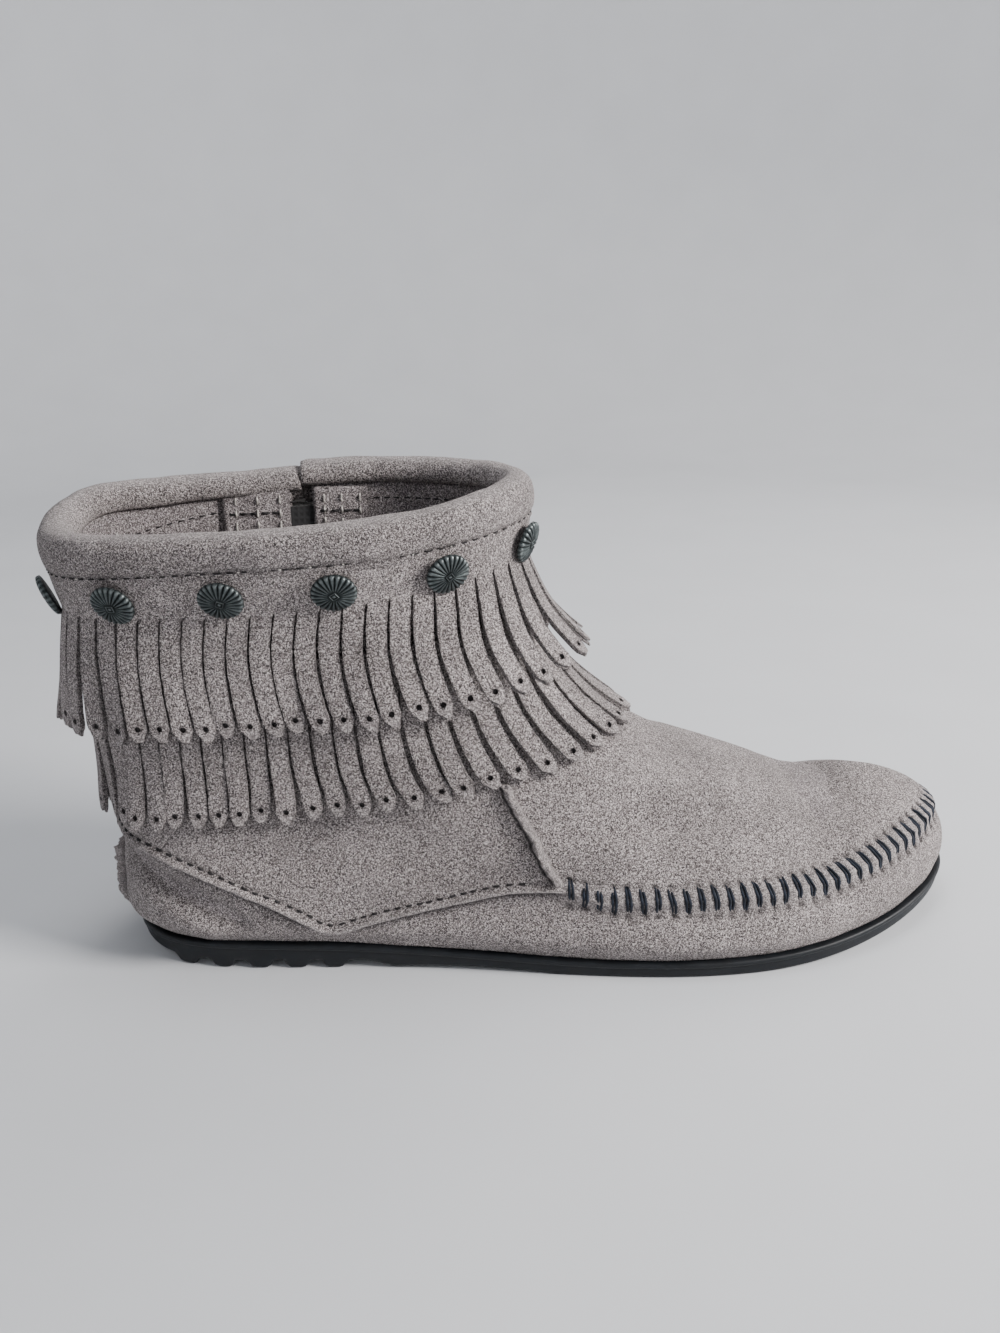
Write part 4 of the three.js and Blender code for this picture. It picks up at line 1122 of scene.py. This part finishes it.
# Threads
def build_whip_stitches():
    shape = Shape()
    bow = np.sin(np.linspace(0, math.pi, 11))
    for i in range(1, STITCH_COUNT - 1):
        centre = APRON_START + (i + 0.5) * STITCH_STEP
        lean = stitch_lean(centre) + rng.normal(0, 0.05)
        top = STITCH_REACH + 0.9 + rng.normal(0, 0.25)
        foot = STITCH_REACH - 0.4 + rng.normal(0, 0.3)
        above = np.linspace(top, -foot, 11)
        for side in (-1, 1):
            spots = seam_spot(centre - lean * above + side * (0.36 + 0.16 * bow), above)
            lifts = -1.3 + 1.65 * bow**0.45 + 0.1 * side * rng.normal()
            normals = wall_normal(*spots)
            shape.add(*tube(outer_point(*spots) + normals * lifts[:, None], 0.45, normals))
    shape.piece("whip_stitches", WHIP_THREAD, "raw_suede")


def on_leather(angle, level, rise):
    normals = wall_normal(angle, level)
    return outer_point(angle, level) + normals * rise[:, None], normals


def dashes(shape, spots, dash, gap, radius, lift, place=on_leather, lengths=None):
    """Short stitches along a row of places, given by their distances along it."""
    if lengths is None:
        lengths = lengths_along(wall_point(*spots))
    rise = -0.35 + (lift + 0.35) * np.sin(np.linspace(0, math.pi, 5)) ** 0.6
    start = gap
    while start + dash < lengths[-1]:
        along = np.linspace(start, start + dash, 5)
        points, up = place(*(np.interp(along, lengths, values) for values in spots), rise)
        shape.add(*tube(points, radius, up, 5))
        start += dash + gap * (1 + 0.15 * rng.normal())


def build_quarter_stitches():
    dark, pale = Shape(), Shape()
    for low, high in ((4, APRON_START - 4), (APRON_END + 4, SEAM_LENGTHS[-1] - 4)):
        along = np.linspace(low, high, 260)
        spots = seam_spot(along, QUARTER_ROW + 0.15 * np.sin(along / 5))
        lengths = lengths_along(wall_point(*spots))
        dashes(dark, spots, 1.7, 1.7, 0.42, 0.12)
        later = [values[1:] for values in spots]
        dashes(pale, later, 0.75, 9.45, 0.17, 0.12, lengths=lengths[:-1] + 0.4)
    dark.piece("quarter_stitches", GREY_THREAD, "raw_suede")
    pale.piece("quarter_stitch_ends", PALE_THREAD, "raw_suede")


def on_roll(angle, level, rise):
    return roll_place(angle, ROLL_FACE + rise, ROLL_ROW), flat_normal(angle, TOP)


def under_roll(angle, level, rise):
    """Places on the lining in a row below its rim."""
    level = level_at_height(angle, wall_point(angle, TOP)[..., 2] - LINING_ROW)
    return lining_point(angle, level, rise), -wall_normal(angle, level)


def build_roll_stitches():
    angle = roll_angles(600, ROLL_GAP + 1)
    lengths = lengths_along(roll_place(angle, ROLL_FACE, ROLL_ROW))
    for name, material, place, sizes in (
            ("roll_stitches", GREY_THREAD, on_roll, (2.3, 1.2, 0.27, 0.25)),
            ("roll_stitch_ends", PALE_THREAD, on_roll, (0.7, 9.5, 0.2, 0.4)),
            ("lining_stitches", GREY_THREAD, under_roll, (2.2, 1.3, 0.25, 0.15))):
        shape = Shape()
        dashes(shape, (angle, angle), *sizes, place, lengths)
        shape.piece(name, material, "raw_suede")


build_whip_stitches()
build_quarter_stitches()
build_roll_stitches()

# Raised raw seams and the heel's tab
SEAM_WIDTH = 4.3
SEAM_THICKNESS = 2.1
SEAM_GROOVE = 0.25
TAB_WIDTH = 9
TAB_THICKNESS = 3.1


def build_side_seams():
    share, rise = np.array(SIDE_SEAM).T
    rows, steps = np.linspace(0, 1, len(share)), np.linspace(0, 1, 90)
    x = SOLE_LENGTH * np.interp(steps, rows, share)[:, None]
    z = sole_top(x) + CLEARANCE + WALL_HEIGHT * np.interp(steps, rows, rise)[:, None]
    across = np.linspace(-0.5, 0.5, 13)
    wander = 0.5 * value_noise(np.stack([x, z, z], -1), 2.2, 8)
    edge = np.abs(across) > 0.45
    groove = (across + SEAM_GROOVE) / 0.13
    # Painted shade in the groove between the two raw edges, a painted shadow along both feet of the ridge,
    # darker on the left, and a painted highlight on the rest of the ridge
    dark = 0.95 * bell(groove) + np.where(across < 0, 0.9, 0.55) * edge
    profile = SEAM_THICKNESS * (1 - (np.abs(across) * 2) ** 6) - 1.7 * bell((across + SEAM_GROOVE) / 0.09)
    for name, inner in (("side_seam_outer", False), ("side_seam_inner", True)):
        spots = side_spot(x + across * SEAM_WIDTH + wander, z, inner)
        bare, up = outer_point(*spots), wall_normal(*spots)
        rough = 0.8 * value_noise(bare, 0.9, 9) + 0.6 * value_noise(bare, 2.1, 10)
        lift = (0.15 + np.maximum(profile + rough * (profile > 0.1), 0))[..., None]
        add_piece(name + "_leather", *sheet(bare + up * lift, bare - up * 0.5), RAW_SUEDE, "raw_suede",
                  replaces=[name], dark=dark, wear_and_highlight=0.75 * (dark < 0.3))


def build_heel_tab():
    level = np.linspace(0.1, 2.45, 66)
    across = np.linspace(-0.5, 0.5, 17)
    slope = BALL_HALF_WIDTH * (ROWS[1, 5:] * WAVES).sum()
    ragged = 0.06 * value_noise(np.stack([level * 9, level, level], -1), 1.3, 12)[:, None]
    angle, level = same_shape(across * (1 + ragged) * TAB_WIDTH / slope, level[:, None])
    bare, up = outer_point(angle, level), wall_normal(angle, level)
    rough = 0.8 * value_noise(bare, 0.9, 13) + 0.5 * value_noise(bare, 2.4, 14)
    profile = TAB_THICKNESS * np.minimum(1, (1 - (np.abs(across) * 2) ** 6) * 1.2) + rough
    points, faces = sheet(bare + up * np.maximum(profile, 0.15)[..., None], bare - up * 0.4)
    # Painted shadow along the tab's two edges, and a painted highlight over its raised face, stronger on its
    # bumps
    add_piece("heel_tab_leather", points, faces, RAW_SUEDE, "raw_suede", replaces=["heel_tab"],
              dark=0.6 * (np.abs(across) > 0.46), wear_and_highlight=np.clip(rough + 0.75, 0, 1))


build_side_seams()
build_heel_tab()

# The sole
SOLE_COLUMNS = 560
SOLE_ACROSS = 24
TREAD_PITCH = 4.4
TREAD_DEPTH = 0.45


def underside(x):
    """The sole's height from the floor, with the heel's lugs that reach down from its hollow underside."""
    drop = np.zeros(np.shape(x))
    for i in range(RIB_COUNT):
        away = np.abs(x - HEEL_SETBACK - (i - 1) * RIB_PITCH) / (RIB_WIDTH / 2)
        curve = np.clip(1 - np.maximum(away - 0.45, 0) ** 2 / 0.42, 0, 1)
        drop = np.maximum(drop, RIB_HEIGHT * np.sqrt(curve))
    return np.maximum(sole_bottom(x) - drop, 0)


def lip_foot(x):
    return sole_top(x) - LIP_HEIGHT


def halfway(x):
    return lerp(underside(x) + 1, lip_foot(x), 0.5)


def build_sole():
    length = lengths_along(wall_point(FINE_TURNS, 0))
    half = SOLE_COLUMNS // 2
    first = np.interp(np.linspace(0, length[len(length) // 2], half + 1), length, FINE_TURNS)
    angle = np.concatenate([first, (TURN - first[1:-1])[::-1]])
    edge, out = wall_point(angle, 0), flat_normal(angle, 0)
    side, lip = SOLE_MARGIN - LIP_STEP, SOLE_MARGIN
    rings = []
    for spread, height, lift in (
            (side - 1.5, underside, 0), (side - 0.55, underside, 0.12), (side - 0.12, underside, 0.5),
            (side, underside, 1), (side + 0.06, halfway, 0), (side, lip_foot, -0.45),
            (side + 0.05, lip_foot, -0.12), (side + 0.5, lip_foot, 0.02), (lip - 0.1, lip_foot, 0.25),
            (lip, lip_foot, 0.6), (lip - 0.1, sole_top, -0.45), (lip - 0.45, sole_top, -0.1),
            (lip - 1, sole_top, 0), (-0.5, sole_top, 0)):
        rings.append(edge + out * spread)
        rings[-1][:, 2] = height(rings[-1][:, 0]) + lift
    rings = np.array(rings)
    numbers = grid_numbers(*rings.shape[:2])
    left, right = np.s_[1:half], np.s_[:half:-1]
    share = np.arange(1, SOLE_ACROSS) / SOLE_ACROSS
    floor = lerp(rings[0][left][:, None], rings[0][right][:, None], share[:, None])
    x = floor[..., 0]
    inset = np.minimum(1, 12 * np.minimum(share, 1 - share))
    tread = TREAD_DEPTH * (0.5 + 0.5 * np.cos(TURN * x / TREAD_PITCH)) * inset
    floor[..., 2] = underside(x) + tread * smooth((x / SOLE_LENGTH - 0.5) / 0.3)
    bottom = np.column_stack([numbers[0][left], grid_numbers(*x.shape, numbers.size), numbers[0][right]])
    faces = ring_faces(numbers) + grid_faces(bottom)
    for end, row in ((numbers[0, 0], bottom[0]), (numbers[0, half], bottom[-1])):
        faces += [[end, a, b] for a, b in zip(row, row[1:])]
    inside = np.arange(half + 1)
    faces += merged(bridge(numbers[-1][inside], numbers[-1][-inside]))
    points = np.concatenate([rings.reshape(-1, 3), floor.reshape(-1, 3)])
    add_piece("outsole_rubber", points, faces, RUBBER, "rubber", replaces=["outsole"], sharp=55)


build_sole()

# The zip and its facings
FACING_DROP = 4.4
FACING_DEPTH = 2.15
TOOTH_PITCH = 1.5
TOOTH_DEPTH = 0.55


def facing_depth(angle, level):
    """How far a facing stands off the lining: over the zip's tape it is high, and at its far edge low."""
    from_zip = wall_point(angle, level)[..., 0] - ZIP_X
    return FACING_DEPTH - 1.15 * smooth((np.abs(from_zip) - SLOT_WIDTH / 2 - 10) / 7)


def on_facing(angle, level, rise):
    return lining_point(angle, level, facing_depth(angle, level) + 0.05 + rise), -wall_normal(angle, level)


def build_facings():
    """Suede facings inside, one on each side of the zip, with pale columns of stitches and grey rows."""
    z = np.linspace(ZIP_RIM - FACING_DROP, ZIP_FOOT - 4, 60)
    for name, low, high in (("facing_back", -21, -0.4), ("facing_front", 0.4, 17.5)):
        x = ZIP_X + np.linspace(low, high, 16) + math.copysign(SLOT_WIDTH / 2, low)
        spots = side_spot(x, z[:, None], True)
        rough = 0.12 * value_noise(wall_point(*spots), 2.5, 17)
        depth = facing_depth(*spots)
        points, faces = sheet(lining_point(*spots, depth + rough), lining_point(*spots, depth - 0.8))
        # Painted shade along the facing's two side edges, where it steps off the lining
        dark = np.pad(np.zeros(len(x) - 2), 1, constant_values=0.5)
        add_piece(name, points, faces, LINING, "suede", dark=dark)
        stitches, crossing = Shape(), Shape()
        for share in (0.2, 0.52, 0.85):
            column = side_spot(lerp(x[0], x[-1], share), np.linspace(z[0] - 1, z[-1] + 2, 80), True)
            dashes(stitches, column, 2.4, 1.3, 0.32, 0.3, on_facing)
        stitches.piece(name + "_stitches", PALE_THREAD, "raw_suede")
        for drop in (7.2, 15):
            row = side_spot(np.linspace(x[0] + 1, x[-1] - 1, 40), z[0] - drop, True)
            dashes(crossing, row, 2.1, 1.2, 0.4, 0.3, on_facing)
        crossing.piece(name + "_rows", GREY_THREAD, "raw_suede")


def build_teeth():
    """Interlocked teeth down the slot, each with a block and a narrower tip."""
    shape = Shape()
    top = ZIP_RIM - ROLL_DROP - 1.5
    box = np.array([[x, y, z] for x in (-1, 1) for y in (-1, 1) for z in (-1, 1)], float)
    faces = [[0, 1, 3, 2], [4, 6, 7, 5], [0, 4, 5, 1], [2, 3, 7, 6], [0, 2, 6, 4], [1, 5, 7, 3]]
    across = np.array([1.0, 0, 0])
    for i in range(int((top - ZIP_FOOT - 2) / TOOTH_PITCH)):
        side = 1 if i % 2 else -1
        spot = side_spot(ZIP_X, top - i * TOOTH_PITCH, True)
        out = wall_normal(*spot)
        middle = wall_point(*spot) - out * TOOTH_DEPTH + side * 0.75 * across
        up = unit(np.cross(out, across))
        for sizes, shift in (((1.5, 0.85, 0.42), 0), ((0.7, 1, 0.55), -side * 1.1)):
            points = middle + shift * across + (box * sizes) @ np.array([across, out, up])
            # Each tooth's outward faces are painted lighter and less rough
            shape.add(points, faces, wear_and_highlight=0.5 * (box[:, 1] > 0))
    piece = shape.piece("zip_teeth", ZIP_METAL, "zip_metal", replaces=["zip_chain"], sharp=30)
    bevel = piece.modifiers.new("soften", "BEVEL")
    bevel.width, bevel.segments = 0.12 * MM, 1


def paint_mesh(mesh, material):
    mesh.materials.clear()
    mesh.materials.append(material)


def softened_copy(node, body, width_mm):
    """A copy of a hard solid with its sharp edges rounded."""
    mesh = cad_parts[node].data.copy()
    work = bmesh.new()
    work.from_mesh(mesh)
    bmesh.ops.remove_doubles(work, verts=work.verts, dist=0.00001)
    bmesh.ops.dissolve_limit(work, angle_limit=math.radians(2), verts=work.verts, edges=work.edges)
    work.to_mesh(mesh)
    work.free()
    paint_mesh(mesh, ZIP_METAL)
    piece = new_object(node + "_metal", mesh)
    bevel = piece.modifiers.new("soften", "BEVEL")
    bevel.width, bevel.segments, bevel.limit_method = width_mm * MM, 2, "ANGLE"
    bevel.angle_limit = math.radians(35)
    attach(piece, body)
    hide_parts(node)


build_facings()
build_teeth()
softened_copy("zip_slider", "boot", 0.3)
softened_copy("zip_pull", "pull", 0.25)
paint_mesh(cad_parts["insole"].data, INSOLE)
paint_mesh(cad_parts["zip_tape"].data, ZIP_CLOTH)


# Stage, light and camera
def build_stage():
    """A round floor that curves up into a backdrop on every side."""
    middle, reach, height, bend, sides = 0.1, 1.25, 1.9, 0.45, 96
    t = np.linspace(0, math.pi / 2, 20)
    radii = np.array([0.3, *(reach - bend + bend * np.sin(t)), reach])
    heights = np.array([0, *(bend - bend * np.cos(t)), height])
    r, t = np.meshgrid(radii, np.arange(sides) * TURN / sides, indexing="ij")
    points = np.stack([middle + r * np.cos(t), r * np.sin(t), heights[:, None] + 0 * t], -1)
    numbers = grid_numbers(*r.shape)
    mesh = bpy.data.meshes.new("floor")
    mesh.from_pydata(points.reshape(-1, 3).tolist(), [], ring_faces(numbers) + [numbers[0].tolist()])
    mesh.shade_smooth()
    paint_mesh(mesh, stage_paper("floor_paper", (0.62, 0.63, 0.65)))
    new_object("floor", mesh)


def add_light(name, place, aim, width, power, colour):
    data = bpy.data.lights.new(name, "AREA")
    data.size = width
    data.energy = power
    data.color = colour
    light = new_object(name, data)
    light.location = place
    light.rotation_euler = (Vector(aim) - Vector(place)).to_track_quat("-Z", "Y").to_euler()


IMAGE_HEIGHT = 1333
FOCAL_PIXELS = 1103
SENSOR = 36
CAMERA_PLACE = (0.0711, -0.3076, 0.1935)
PITCH, YAW, ROLL = (math.radians(degrees) for degrees in (19.84, 2.58, -1.19))


def build_camera():
    data = bpy.data.cameras.new("camera")
    data.sensor_width = SENSOR
    data.lens = FOCAL_PIXELS / IMAGE_HEIGHT * SENSOR
    data.clip_start = 0.01
    camera = new_object("camera", data)
    turns = ((-YAW, "Z"), (TURN / 4 - PITCH, "X"), (ROLL, "Z"))
    yaw, pitch, roll = (Matrix.Rotation(angle, 4, axis) for angle, axis in turns)
    camera.matrix_world = Matrix.Translation(CAMERA_PLACE) @ yaw @ pitch @ roll
    bpy.context.scene.camera = camera


build_stage()
build_camera()
add_light("window", (1.02, -0.36, 0.6), (0.1, 0, 0.04), 0.36, 24, (1.0, 0.975, 0.955))
add_light("far_window", (0.45, 0.6, 0.8), (0.08, 0, 0.04), 0.6, 3, (1.0, 0.97, 0.95))
add_light("back_fill", (-0.6, -0.45, 0.85), (0.04, 0, 0.06), 0.7, 0.4, (0.9, 0.95, 1.0))
add_light("top_fill", (0.0, 0.05, 1.25), (0.03, 0, 0.1), 0.35, 3.6, (0.93, 0.96, 1.0))
world = bpy.data.worlds.new("studio")
world.use_nodes = True
sky = world.node_tree.nodes["Background"].inputs
sky["Color"].default_value = (0.82, 0.88, 0.95, 1)
sky["Strength"].default_value = 0.2
bpy.context.scene.world = world
